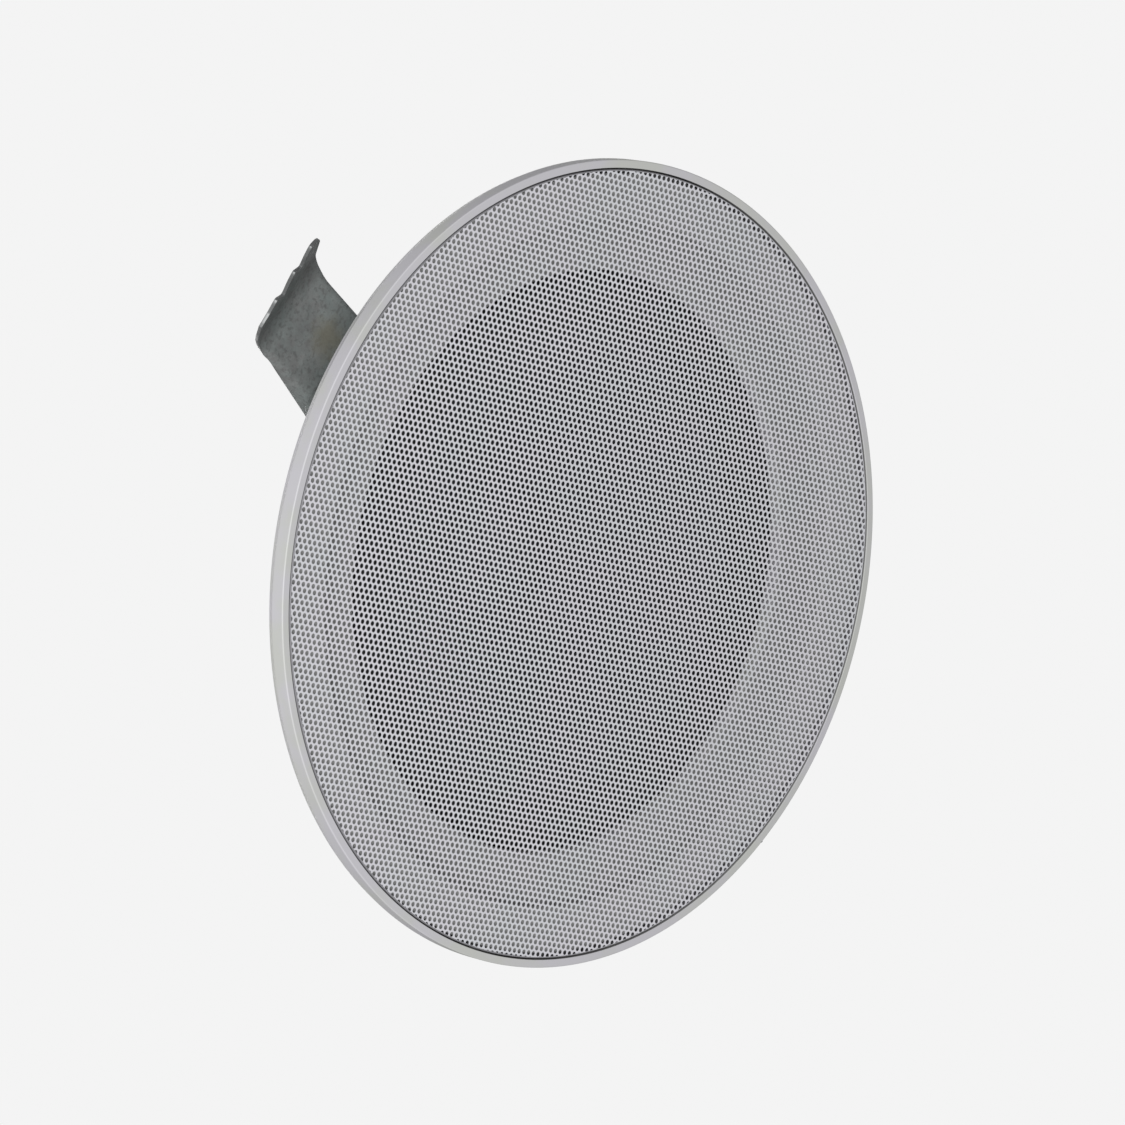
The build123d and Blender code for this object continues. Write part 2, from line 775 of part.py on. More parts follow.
# Clamp bracket on the +X side: two ears, a stop web between them and two feet
ear_points = []
for ear_angle in (ear_front_angle, ear_top_angle, ear_tail_angle):
    ear_x, ear_z = polar(ear_eye_radius, ear_angle)
    ear_points.append((hinge_x + ear_x, hinge_z + ear_z))
with BuildPart() as clamp_bracket_right:
    with BuildSketch(Plane.XZ.offset(-ear_inner_y - bracket_sheet)):
        with BuildLine():
            Polyline(
                (foot_start_x, flange_back_z),
                (stop_web_x + bracket_sheet, flange_back_z),
                (stop_web_x + bracket_sheet, stop_web_top_z),
                ear_points[0],
            )
            ThreePointArc(*ear_points)
            Line(ear_points[2], (foot_start_x, flange_back_z))
        make_face()
        with Locations((hinge_x, hinge_z)):
            Circle(arm_pin_hole_radius, mode=Mode.SUBTRACT)
    extrude(amount=bracket_sheet)
    mirror(about=Plane.XZ)
    with BuildSketch(Plane.XY.offset(flange_back_z)):
        with Locations((stop_web_x, 0)):
            Rectangle(
                bracket_sheet,
                2 * (ear_inner_y + bracket_sheet),
                align=(Align.MIN, Align.CENTER),
            )
    extrude(amount=stop_web_top_z - flange_back_z)
    foot_width = foot_half_width - ear_inner_y
    with BuildSketch(Plane.XY.offset(flange_back_z)) as foot_sketch:
        for side in (-1, 1):
            with Locations((
                (foot_start_x + foot_end_x) / 2,
                side * (ear_inner_y + foot_width / 2),
            )):
                Rectangle(foot_end_x - foot_start_x, foot_width)
        fillet(foot_sketch.vertices().group_by(Axis.Y)[0], foot_rounding)
        fillet(foot_sketch.vertices().group_by(Axis.Y)[-1], foot_rounding)
        with Locations(*[polar(fixing_circle, side * side_screw_offset) for side in (-1, 1)]):
            Circle(screw_clearance_radius, mode=Mode.SUBTRACT)
    extrude(amount=bracket_sheet)
clamp_bracket_right.part.label = "clamp_bracket_right"
export_step(clamp_bracket_right.part, "parts/clamp_bracket_right.step")

# Hinge pin with a flat head at -Y and a groove for its clip at +Y
ear_outer_y = ear_inner_y + bracket_sheet
with BuildPart() as hinge_pin_right:
    with BuildSketch(Plane.XZ.offset(ear_outer_y)):
        with Locations((hinge_x, hinge_z)):
            Circle(pin_head_radius)
    extrude(amount=pin_head_thickness)
    with BuildSketch(Plane.XZ.offset(ear_outer_y)):
        with Locations((hinge_x, hinge_z)):
            Circle(pin_radius)
    extrude(amount=-2 * ear_outer_y - pin_end_margin)
    with BuildSketch(Plane.XZ.offset(-ear_outer_y - clip_groove_gap)):
        with Locations((hinge_x, hinge_z)):
            Circle(pin_head_radius)
            Circle(clip_groove_radius, mode=Mode.SUBTRACT)
    extrude(amount=-clip_thickness - 2 * clip_play, mode=Mode.SUBTRACT)
hinge_pin_right.part.label = "hinge_pin_right"
export_step(hinge_pin_right.part, "parts/hinge_pin_right.step")

# Retaining clip in the pin's groove
with BuildPart() as pin_clip_right:
    with BuildSketch(Plane.XZ.offset(-ear_outer_y - clip_groove_gap - clip_play)):
        with Locations((hinge_x, hinge_z)):
            Circle(clip_radius)
            Circle(clip_groove_radius, mode=Mode.SUBTRACT)
            Rectangle(clip_mouth, 2 * clip_radius, align=(Align.CENTER, Align.MIN), mode=Mode.SUBTRACT)
    extrude(amount=-clip_thickness)
pin_clip_right.part.label = "pin_clip_right"
export_step(pin_clip_right.part, "parts/pin_clip_right.step")

# Torsion spring: a coil on the pin, one leg on the arm's plate and one against the stop web
coil_turn = spring_turns + (360 - 90 - spring_leg_angle) / 360
coil_length = coil_turn * spring_pitch
coil_plane = Plane(origin=(hinge_x, -coil_length / 2, hinge_z), x_dir=(0, 0, -1), z_dir=(0, 1, 0))
with BuildPart() as clamp_spring_right:
    with BuildLine():
        coil = Helix(spring_pitch, coil_length, spring_radius)
    coil_path = coil_plane * coil
    start_leg = Edge.make_line(
        coil_path @ 0 - (coil_path % 0) * spring_arm_leg,
        coil_path @ 0,
    )
    end_leg = Edge.make_line(coil_path @ 1, coil_path @ 1 + (coil_path % 1) * spring_web_leg)
    spring_path = Wire([start_leg, coil_path.edge(), end_leg])
    with BuildSketch(Plane(origin=spring_path @ 0, z_dir=spring_path % 0)):
        Circle(spring_wire / 2)
    sweep(path=spring_path, is_frenet=True)
clamp_spring_right.part.label = "clamp_spring_right"
export_step(clamp_spring_right.part, "parts/clamp_spring_right.step")

# The -X side carries the same clamp, turned half a turn about the axis
with BuildPart() as clamp_arm_left:
    add(clamp_arm_right.part.rotate(Axis.Z, 180))
clamp_arm_left.part.label = "clamp_arm_left"
export_step(clamp_arm_left.part, "parts/clamp_arm_left.step")

with BuildPart() as clamp_bracket_left:
    add(clamp_bracket_right.part.rotate(Axis.Z, 180))
clamp_bracket_left.part.label = "clamp_bracket_left"
export_step(clamp_bracket_left.part, "parts/clamp_bracket_left.step")

with BuildPart() as hinge_pin_left:
    add(hinge_pin_right.part.rotate(Axis.Z, 180))
hinge_pin_left.part.label = "hinge_pin_left"
export_step(hinge_pin_left.part, "parts/hinge_pin_left.step")

with BuildPart() as pin_clip_left:
    add(pin_clip_right.part.rotate(Axis.Z, 180))
pin_clip_left.part.label = "pin_clip_left"
export_step(pin_clip_left.part, "parts/pin_clip_left.step")

with BuildPart() as clamp_spring_left:
    add(clamp_spring_right.part.rotate(Axis.Z, 180))
clamp_spring_left.part.label = "clamp_spring_left"
export_step(clamp_spring_left.part, "parts/clamp_spring_left.step")

# Component plate: foot on the driver's flange, web and shelf
with BuildPart() as component_plate:
    with BuildSketch(Plane.XY.offset(flange_back_z)) as plate_foot:
        with Locations((0, (plate_web_y + plate_foot_end_y) / 2)):
            Rectangle(2 * plate_foot_half_width, plate_foot_end_y - plate_web_y)
        fillet(plate_foot.vertices().group_by(Axis.Y)[-1], foot_rounding)
        with Locations(*[polar(fixing_circle, angle) for angle in plate_screw_angles]):
            Circle(screw_clearance_radius, mode=Mode.SUBTRACT)
    extrude(amount=plate_sheet)
    with BuildSketch(Plane.XY.offset(flange_back_z)):
        with Locations((0, plate_web_y)):
            Rectangle(2 * plate_web_half_width, plate_sheet, align=(Align.CENTER, Align.MIN))
    extrude(amount=plate_shelf_z - flange_back_z)
    with BuildSketch(Plane.XY.offset(plate_shelf_z)) as shelf_sketch:
        with BuildLine():
            Polyline(
                (shelf_left_x, plate_shelf_start_y),
                (shelf_right_x, plate_shelf_start_y),
                (shelf_right_x, plate_shelf_start_y + block_depth),
                (plate_foot_half_width, plate_web_y + plate_sheet),
                (shelf_left_x, plate_web_y + plate_sheet),
                close=True,
            )
        make_face()
        fillet(shelf_sketch.vertices(), foot_rounding)
        with Locations(*[(side * (core_width + frame_foot) / 2, core_y) for side in (-1, 1)]):
            Circle(frame_rivet_radius, mode=Mode.SUBTRACT)
        with Locations((block_x, block_y)):
            Circle(frame_rivet_radius, mode=Mode.SUBTRACT)
    extrude(amount=-plate_sheet)
component_plate.part.label = "component_plate"
export_step(component_plate.part, "parts/component_plate.step")

# Transformer core: the stacked E and I laminations
core_front_z = plate_shelf_z
window_width = (core_width - 2 * yoke_width - limb_width) / 2
with BuildPart() as transformer_core:
    with BuildSketch(Plane.XZ.offset(-core_y)):
        with Locations((0, core_front_z + core_height / 2)):
            Rectangle(core_width, core_height)
            for side in (-1, 1):
                with Locations((side * (limb_width + window_width) / 2, 0)):
                    Rectangle(window_width, core_height - 2 * yoke_width, mode=Mode.SUBTRACT)
    extrude(amount=core_stack / 2, both=True)
transformer_core.part.label = "transformer_core"
export_step(transformer_core.part, "parts/transformer_core.step")

# Bobbin: two end flanges and the taped winding between them, around the core's middle limb
bobbin_front_z = core_front_z + yoke_width + bobbin_clearance
bobbin_height = core_height - 2 * yoke_width - 2 * bobbin_clearance
bobbin_width = limb_width + 2 * window_width - 2 * bobbin_clearance
bobbin_depth = core_stack + 2 * coil_overhang
with BuildPart() as transformer_bobbin:
    for flange_z in (bobbin_front_z, bobbin_front_z + bobbin_height - bobbin_flange):
        with BuildSketch(Plane.XY.offset(flange_z)):
            with Locations((0, core_y)):
                RectangleRounded(bobbin_width, bobbin_depth, foot_rounding)
                Rectangle(
                    limb_width + bobbin_clearance,
                    core_stack + bobbin_clearance,
                    mode=Mode.SUBTRACT,
                )
        extrude(amount=bobbin_flange)
    with BuildSketch(Plane.XY.offset(bobbin_front_z)):
        with Locations((0, core_y)):
            RectangleRounded(bobbin_width - 2 * tape_inset, bobbin_depth - 2 * tape_inset, foot_rounding)
            Rectangle(
                limb_width + bobbin_clearance,
                core_stack + bobbin_clearance,
                mode=Mode.SUBTRACT,
            )
    extrude(amount=bobbin_height)
transformer_bobbin.part.label = "transformer_bobbin"
export_step(transformer_bobbin.part, "parts/transformer_bobbin.step")

# Strap frame that holds the core down on the shelf
with BuildPart() as transformer_frame:
    with BuildSketch(Plane.XZ.offset(-core_y)):
        with Locations((0, core_front_z)):
            Rectangle(
                core_width + 2 * frame_sheet,
                core_height + frame_sheet,
                align=(Align.CENTER, Align.MIN),
            )
            Rectangle(core_width, core_height, align=(Align.CENTER, Align.MIN), mode=Mode.SUBTRACT)
            for side, align in ((-1, Align.MAX), (1, Align.MIN)):
                with Locations((side * core_width / 2, 0)):
                    Rectangle(frame_foot, frame_sheet, align=(align, Align.MIN))
    extrude(amount=core_stack / 2 - frame_side_inset, both=True)
    with BuildSketch(Plane.XY.offset(core_front_z)):
        with Locations(*[(side * (core_width + frame_foot) / 2, core_y) for side in (-1, 1)]):
            Circle(frame_rivet_radius)
    extrude(amount=frame_sheet, mode=Mode.SUBTRACT)
transformer_frame.part.label = "transformer_frame"
export_step(transformer_frame.part, "parts/transformer_frame.step")

# Rivets through the strap's feet and the shelf
with BuildPart() as frame_rivets:
    with BuildSketch(Plane.XY.offset(core_front_z - plate_sheet)):
        with Locations(*[(side * (core_width + frame_foot) / 2, core_y) for side in (-1, 1)]):
            Circle(frame_rivet_radius)
    extrude(amount=plate_sheet + frame_sheet)
    with BuildSketch(Plane.XY.offset(core_front_z + frame_sheet)):
        with Locations(*[(side * (core_width + frame_foot) / 2, core_y) for side in (-1, 1)]):
            Circle(frame_rivet_head_radius)
    extrude(amount=frame_rivet_head_height, taper=rivet_taper)
frame_rivets.part.label = "frame_rivets"
export_step(frame_rivets.part, "parts/frame_rivets.step")

# Terminal block: a two-pole body with screw wells on top and wire holes at the outer side
block_top_z = plate_shelf_z + block_height
well_floor_z = block_top_z - terminal_well_depth
pole_places = [(block_x + side * block_pole_pitch / 2, block_y) for side in (-1, 1)]
with BuildPart() as terminal_block:
    with BuildSketch(Plane.XY.offset(plate_shelf_z)):
        with Locations((block_x, block_y)):
            RectangleRounded(block_width, block_depth - 2 * block_shoulder, block_rounding)
    extrude(amount=block_height)
    with BuildSketch(Plane.XY.offset(plate_shelf_z)):
        with Locations((block_x, block_y)):
            RectangleRounded(block_width, block_depth, block_rounding)
    extrude(amount=block_shoulder_height)
    with BuildSketch(Plane.XY.offset(block_top_z)):
        with Locations(*pole_places):
            Circle(terminal_screw_head_radius + terminal_well_gap)
    extrude(amount=-terminal_well_depth, mode=Mode.SUBTRACT)
    with BuildSketch(Plane.XY.offset(well_floor_z)):
        with Locations(*pole_places):
            Circle(terminal_screw_radius)
    extrude(amount=-terminal_screw_length, mode=Mode.SUBTRACT)
    with BuildSketch(Plane.XZ.offset(-block_y - block_depth / 2)):
        with Locations(*[(x, plate_shelf_z + wire_hole_z) for x, _ in pole_places]):
            Circle(wire_hole_radius)
    extrude(amount=wire_hole_depth, mode=Mode.SUBTRACT)
    with BuildSketch(Plane.XY.offset(plate_shelf_z)):
        with Locations((block_x, block_y)):
            Circle(frame_rivet_radius)
    extrude(amount=block_height, mode=Mode.SUBTRACT)
terminal_block.part.label = "terminal_block"
export_step(terminal_block.part, "parts/terminal_block.step")

# Terminal screws, slotted, set down in their wells
with BuildPart() as terminal_screws:
    with BuildSketch(Plane.XY.offset(well_floor_z - terminal_screw_length)):
        with Locations(*pole_places):
            Circle(terminal_screw_radius)
    extrude(amount=terminal_screw_length)
    with BuildSketch(Plane.XY.offset(well_floor_z)):
        with Locations(*pole_places):
            Circle(terminal_screw_head_radius)
    extrude(amount=terminal_screw_head_height)
    with BuildSketch(Plane.XY.offset(well_floor_z + terminal_screw_head_height)):
        with Locations(*pole_places):
            Rectangle(3 * terminal_screw_head_radius, slot_width)
    extrude(amount=-slot_depth, mode=Mode.SUBTRACT)
terminal_screws.part.label = "terminal_screws"
export_step(terminal_screws.part, "parts/terminal_screws.step")

# Screw that holds the terminal block on the shelf
with BuildPart() as block_screw:
    with BuildSketch(Plane.XY.offset(plate_shelf_z - plate_sheet - block_screw_tip)):
        with Locations((block_x, block_y)):
            Circle(frame_rivet_radius)
    extrude(amount=block_height + plate_sheet + block_screw_tip)
    with BuildSketch(Plane.XY.offset(block_top_z)):
        with Locations((block_x, block_y)):
            Circle(block_screw_head_radius)
    extrude(amount=block_screw_head_height)
    with BuildSketch(Plane.XY.offset(block_top_z + block_screw_head_height)):
        with Locations((block_x, block_y)):
            Rectangle(3 * block_screw_head_radius, slot_width)
    extrude(amount=-slot_depth, mode=Mode.SUBTRACT)
block_screw.part.label = "block_screw"
export_step(block_screw.part, "parts/block_screw.step")

# Tag strip: a board riveted to a basket spoke
board_plane = tag_plane.offset(tag_board_gap)
tag_places = [(side * tag_spacing / 2, 0) for side in (-1, 1)]
with BuildPart() as tag_strip:
    with BuildSketch(board_plane):
        RectangleRounded(tag_board_length, tag_board_width, board_rounding)
        Circle(tag_rivet_radius, mode=Mode.SUBTRACT)
    extrude(amount=tag_board_thickness)
tag_strip.part.label = "tag_strip"
export_step(tag_strip.part, "parts/tag_strip.step")

# Solder tags on the board, with an eye at each end
tag_face_plane = board_plane.offset(tag_board_thickness)
tag_eye_y = tag_length / 2 - tag_eye_inset
with BuildPart() as solder_tags:
    with BuildSketch(tag_face_plane):
        with Locations(*tag_places):
            SlotOverall(tag_length, tag_width, rotation=90)
            with Locations((0, tag_eye_y), (0, -tag_eye_y)):
                Circle(tag_eye_radius, mode=Mode.SUBTRACT)
    extrude(amount=tag_sheet)
solder_tags.part.label = "solder_tags"
export_step(solder_tags.part, "parts/solder_tags.step")

# Rivet that holds the board to the spoke
with BuildPart() as tag_rivet:
    with BuildSketch(tag_plane.offset(-basket_sheet)):
        Circle(tag_rivet_radius)
    extrude(amount=basket_sheet + tag_board_gap + tag_board_thickness)
    with BuildSketch(tag_face_plane):
        Circle(tag_rivet_head_radius)
    extrude(amount=tag_rivet_head_height, taper=rivet_taper)
tag_rivet.part.label = "tag_rivet"
export_step(tag_rivet.part, "parts/tag_rivet.step")


def tag_point(side, along, above):
    """Return the place over a solder tag, along the wall and above the tag's face."""
    return board_plane.from_local_coords(
        Vector(side * tag_spacing / 2, along, tag_board_thickness + tag_sheet + above)
    )


def cylinder_point(radius, angle, z):
    """Return a place given by its radius, angle and height."""
    return Vector(*polar(radius, angle), z)


def route_wire(points, radius):
    """Sweep a round wire along a route of straight runs joined by the widest arcs."""
    with BuildPart() as wire:
        with BuildLine() as route:
            FilletPolyline(*points, radius=wire_radii(points))
        path = route.wires()[0]
        with BuildSketch(Plane(origin=path @ 0, z_dir=path % 0)):
            Circle(radius)
        sweep(path=path)
    return wire.part


# Flexible leads from the tags through a window to the cone's back
eyelet = ThreePointArc(*back_side) @ eyelet_place
with BuildPart() as flexible_leads:
    for side in (-1, 1):
        flex_corners = [cylinder_point(r, tag_angle + side * turn, z) for r, turn, z in flex_route]
        add(route_wire(
            [
                tag_point(side, 1 - tag_eye_y, flex_radius),
                tag_point(side, -tag_eye_y - 5, 1 + flex_radius),
                *flex_corners,
                cylinder_point(eyelet.X + 5, tag_angle + side * flex_end_angle, eyelet.Y + 4),
                cylinder_point(eyelet.X, tag_angle + side * flex_end_angle, eyelet.Y + flex_radius),
            ],
            flex_radius,
        ))
flexible_leads.part.label = "flexible_leads"
export_step(flexible_leads.part, "parts/flexible_leads.step")

# Leads from the transformer's winding to the tags
winding_face_y = core_y - bobbin_depth / 2 + tape_inset
with BuildPart() as speaker_leads:
    for side, start_x in zip((-1, 1), speaker_lead_starts):
        add(route_wire(
            [
                Vector(start_x, winding_face_y, lead_exit_z),
                Vector(start_x, winding_face_y - lead_stub, lead_exit_z),
                Vector(start_x - 8, winding_face_y - 9.5, lead_exit_z - 2 + 1.5 * side),
                cylinder_point(51 + 1.5 * side, tag_angle - 24 + 6 * side, lead_exit_z - 6 + 3 * side),
                tag_point(side, tag_eye_y + 5.5, lead_radius + 4),
                tag_point(side, tag_eye_y - 0.5, lead_radius),
            ],
            lead_radius,
        ))
speaker_leads.part.label = "speaker_leads"
export_step(speaker_leads.part, "parts/speaker_leads.step")

# Leads from the terminal block to the transformer's winding
block_face_y = block_y - block_depth / 2
wire_z = plate_shelf_z + wire_hole_z
with BuildPart() as line_leads:
    for (pole_x, _), end_x in zip(pole_places, line_lead_ends):
        add(route_wire(
            [
                Vector(pole_x, block_face_y, wire_z),
                Vector(pole_x, block_face_y - lead_stub, wire_z),
                Vector(pole_x - 8, block_face_y - 9.5, wire_z + 4),
                Vector(end_x + 8, winding_face_y - 9, lead_exit_z - 13 + end_x),
                Vector(end_x, winding_face_y - lead_stub, lead_exit_z),
                Vector(end_x, winding_face_y, lead_exit_z),
            ],
            lead_radius,
        ))
line_leads.part.label = "line_leads"
export_step(line_leads.part, "parts/line_leads.step")
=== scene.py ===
"""In-ceiling speaker: its visible pieces and finishes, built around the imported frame.

Laid out as an add-on and run as a script. Lengths are in metres, in the frame's own axes: Z = 0 is the back face of
the rim, +Z points up into the ceiling void, +X runs along the first clamp arm, and the grille faces -Z.
"""

import json
from math import asin, atan2, cos, pi, radians, sin, sqrt, tan, tau

import bmesh
import bpy
from bpy.props import FloatProperty, FloatVectorProperty, IntProperty, PointerProperty
from mathutils import Matrix, Vector


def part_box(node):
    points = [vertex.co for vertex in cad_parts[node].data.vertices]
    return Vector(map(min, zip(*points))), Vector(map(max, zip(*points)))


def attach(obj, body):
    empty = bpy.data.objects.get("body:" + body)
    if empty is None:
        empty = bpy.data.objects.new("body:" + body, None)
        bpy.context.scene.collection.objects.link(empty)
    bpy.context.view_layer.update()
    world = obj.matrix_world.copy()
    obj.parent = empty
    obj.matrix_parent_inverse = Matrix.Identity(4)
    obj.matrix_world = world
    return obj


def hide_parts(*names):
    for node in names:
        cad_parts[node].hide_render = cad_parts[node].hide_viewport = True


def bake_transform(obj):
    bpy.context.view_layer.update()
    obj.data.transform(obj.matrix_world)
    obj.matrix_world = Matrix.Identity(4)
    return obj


bl_info = {
    "name": "In-Ceiling Speaker",
    "version": (1, 0, 0),
    "blender": (4, 5, 0),
    "location": "3D View > Sidebar > Speaker",
    "description": "Builds the visible pieces of a round in-ceiling speaker",
    "category": "Add Mesh",
}

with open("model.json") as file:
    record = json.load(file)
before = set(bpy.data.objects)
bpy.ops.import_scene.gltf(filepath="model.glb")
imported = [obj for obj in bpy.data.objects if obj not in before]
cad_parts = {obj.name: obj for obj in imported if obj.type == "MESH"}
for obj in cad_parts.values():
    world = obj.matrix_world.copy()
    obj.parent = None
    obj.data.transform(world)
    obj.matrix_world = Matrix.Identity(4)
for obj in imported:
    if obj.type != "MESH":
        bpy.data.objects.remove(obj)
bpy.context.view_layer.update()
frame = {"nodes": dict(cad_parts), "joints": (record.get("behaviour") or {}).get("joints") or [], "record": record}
record = frame["record"]

MM = 0.001
ROUND_STEPS = 240
ROOT = "frame"
MOVING_CONE = "cone_assembly"
ARM_BODIES = {"right": "clamp_right", "left": "clamp_left"}
slot_of_node = {part["node"]: part["material_slot"] for part in record["subparts"]}
record_colour = {material["slot"]: material["base_color"][:3] for material in record["materials"]}
joint_place = {joint["name"]: Vector(joint.get("pos_m", (0, 0, 0))) for joint in frame["joints"]}

RIM_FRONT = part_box("front_baffle")[0].z
RIM_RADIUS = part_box("front_baffle")[1].x
GRILLE_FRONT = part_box("perforated_grille")[0].z

# Radii, heights and thicknesses, in millimetres, and bearings in degrees
STEP_RADIUS = 84.9
OPENING_RADIUS = 72.4
GROOVE_FLOOR = -1.6
ANNULUS_FRONT = -3.9
RECESS_FRONT = 0.5
RECESS_BACK = 4.5
TROUGH_RADIUS = 94.8
PAPER = 0.5
FIXING_CIRCLE = 77.5
SIDE_SCREW_TURN = 13.8
TAG_BEARING = 150


def length_property(name, description, default):
    """Return a length property that shows its value in the scene's units."""
    return FloatProperty(name=name, description=description, default=default, unit="LENGTH", precision=5, min=0.0)


def colour_property(name, description, default):
    """Return a colour property."""
    return FloatVectorProperty(
        name=name, description=description, default=default, subtype="COLOR", size=3, min=0.0, max=1.0
    )


class BaffleSettings(bpy.types.PropertyGroup):
    """Sizes of the moulded front baffle."""

    rim_rounding: length_property("Rim Rounding", "Radius of the rim's outer front edge", 0.3 * MM)
    rim_width: length_property("Rim Width", "Width of the rim's front face", 2.0 * MM)
    groove_width: length_property("Groove Width", "Width of the groove that holds the grille", 1.4 * MM)
    wall: length_property("Wall", "Thickness of the moulding", 2.0 * MM)
    rib_count: IntProperty(name="Ribs", description="Number of ribs in the trough behind the rim", default=24, min=0)


class GrilleSettings(bpy.types.PropertyGroup):
    """Sizes of the perforated grille."""

    pitch: length_property("Hole Pitch", "Distance between neighbouring holes", 1.648 * MM)
    hole: length_property("Hole Diameter", "Diameter of each hole inside its coat of paint", 1.22 * MM)
    sheet: length_property("Sheet", "Thickness of the sheet", 0.12 * MM)
    hole_sides: IntProperty(name="Hole Sides", description="Number of sides of each hole", default=10, min=6)
    row_angle: FloatProperty(
        name="Row Angle", description="Angle of the hole rows from +X", default=radians(32.6), subtype="ANGLE"
    )
    field_radius: length_property("Hole Field", "Radius within which holes are punched", 97.95 * MM)
    phase: FloatVectorProperty(
        name="Phase", description="Place of one hole from the centre", default=(-0.006 * MM, -0.416 * MM), size=2,
        unit="LENGTH", precision=5,
    )
    radius: length_property("Radius", "Outer radius of the grille's rolled edge", 97.6 * MM)
    roll: length_property("Roll", "Radius of the grille's rolled edge", 0.25 * MM)
    centre_rise: length_property("Dish", "How far the centre stands back from the edge", 1.15 * MM)


class DriverSettings(bpy.types.PropertyGroup):
    """Sizes of the driver's visible pieces."""

    sector_count: IntProperty(name="Sectors", description="Pieces that each soft ring is built from", default=12, min=6)
    screw_head: length_property("Screw Head", "Diameter of the screws' heads", 6.8 * MM)


class ClampSettings(bpy.types.PropertyGroup):
    """Sizes of the clamp springs."""

    sheet: length_property("Sheet", "Thickness of the arms' sheet", 0.8 * MM)
    fold: length_property("Fold Radius", "Outer radius of the folds along the arms", 2.2 * MM)
    bend: length_property("Lip Radius", "Radius of the bend that turns each arm's lip", 10.3 * MM)
    lip_angle: FloatProperty(
        name="Lip Angle", description="Angle that each lip is turned by", default=radians(47.2), subtype="ANGLE"
    )
    wire: length_property("Spring Wire", "Diameter of the spring wire", 1.2 * MM)
    coil: length_property("Coil Radius", "Radius at the middle of the spring wire", 3.0 * MM)
    turn_pitch: length_property("Turn Pitch", "Distance between the spring's turns", 1.35 * MM)
    arm_leg: length_property("Arm Leg", "Length of the leg that lies on the arm", 22.0 * MM)
    web_leg: length_property("Web Leg", "Length of the leg that meets the bracket", 20.6 * MM)


class FinishSettings(bpy.types.PropertyGroup):
    """Colours of the main finishes."""

    grille: colour_property("Grille", "Powder coat of the grille", (0.606, 0.598, 0.636))
    baffle: colour_property("Baffle", "Moulded plastic of the baffle", (0.488, 0.49, 0.485))
    galvanised: colour_property("Galvanised Steel", "Zinc coat of the clamps and plates", (0.212, 0.216, 0.213))
    cone: colour_property("Cone", "Paper of the cone", (0.032, 0.032, 0.037))


class StageSettings(bpy.types.PropertyGroup):
    """Camera, light and floor."""

    background: FloatProperty(
        name="Background", description="Brightness of the background", default=0.904, min=0.0, max=1.0
    )
    floor: FloatProperty(name="Floor", description="Brightness of the floor's colour", default=0.9, min=0.0, max=1.0)
    front_light: FloatProperty(name="Front Light", description="Power of the front light", default=27.0, min=0.0)
    top_light: FloatProperty(name="Top Light", description="Power of the light above", default=19.0, min=0.0)
    ambient: FloatProperty(name="Ambient", description="Strength of the light from all sides", default=0.35, min=0.0)


# Node trees


def open_socket(sockets, key):
    """Return the socket with a name or an index that the node shows."""
    if isinstance(key, int):
        return sockets[key]
    return next(socket for socket in sockets if socket.name == key and socket.enabled)


def put(tree, kind, inputs=None, **settings):
    """Add a node, set its properties and fill its inputs with values or with other nodes' outputs."""
    node = tree.nodes.new(kind)
    for key, value in settings.items():
        setattr(node, key, value)
    for key, value in (inputs or {}).items():
        socket = open_socket(node.inputs, key)
        if isinstance(value, bpy.types.NodeSocket):
            tree.links.new(value, socket)
        else:
            socket.default_value = value
    return node


def calculate(tree, operation, *values):
    """Work out values or sockets from left to right with a math node for each step and return the last output."""
    result = put(tree, "ShaderNodeMath", dict(enumerate(values[:2])), operation=operation).outputs[0]
    for value in values[2:]:
        result = put(tree, "ShaderNodeMath", {0: result, 1: value}, operation=operation).outputs[0]
    return result


def joined(tree, *meshes):
    """Join geometry outputs and return the result."""
    node = put(tree, "GeometryNodeJoinGeometry")
    for mesh in meshes:
        tree.links.new(mesh, node.inputs[0])
    return node.outputs[0]


def vector_of(tree, x=0.0, y=0.0, z=0.0):
    """Join three numbers into a vector and return it."""
    return put(tree, "ShaderNodeCombineXYZ", {"X": x, "Y": y, "Z": z}).outputs[0]


def parts_of(tree, vector):
    """Return a vector's three numbers."""
    return put(tree, "ShaderNodeSeparateXYZ", {"Vector": vector}).outputs


def radius_of(tree, x, y):
    """Return the distance from the Z axis."""
    return put(tree, "ShaderNodeVectorMath", {0: vector_of(tree, x, y)}, operation="LENGTH").outputs["Value"]


def geometry_tree(name, inputs):
    """Start a geometry tree with named inputs and return it with its input node."""
    tree = bpy.data.node_groups.new(name, "GeometryNodeTree")
    tree.interface.new_socket("Geometry", in_out="INPUT", socket_type="NodeSocketGeometry")
    for label, (kind, default) in inputs.items():
        socket = tree.interface.new_socket(label, in_out="INPUT", socket_type="NodeSocket" + kind)
        if default is not None:
            socket.default_value = default
    tree.interface.new_socket("Material", in_out="INPUT", socket_type="NodeSocketMaterial")
    tree.interface.new_socket("Geometry", in_out="OUTPUT", socket_type="NodeSocketGeometry")
    return tree, tree.nodes.new("NodeGroupInput")


def close_tree(tree, start, geometry):
    """End a geometry tree: real geometry with its material."""
    real = put(tree, "GeometryNodeRealizeInstances", {"Geometry": geometry}).outputs[0]
    shown = put(tree, "GeometryNodeSetMaterial", {"Geometry": real, "Material": start.outputs["Material"]}).outputs[0]
    tree.links.new(shown, tree.nodes.new("NodeGroupOutput").inputs[0])


def sheet_front(tree, radius, start):
    """Return the height of the dished grille's front at a radius."""
    share = calculate(tree, "DIVIDE", radius, start.outputs["Sheet Radius"])
    fall = calculate(tree, "MULTIPLY", share, share, start.outputs["Dish"])
    centre = calculate(tree, "ADD", start.outputs["Edge Height"], start.outputs["Dish"])
    return calculate(tree, "SUBTRACT", centre, fall)


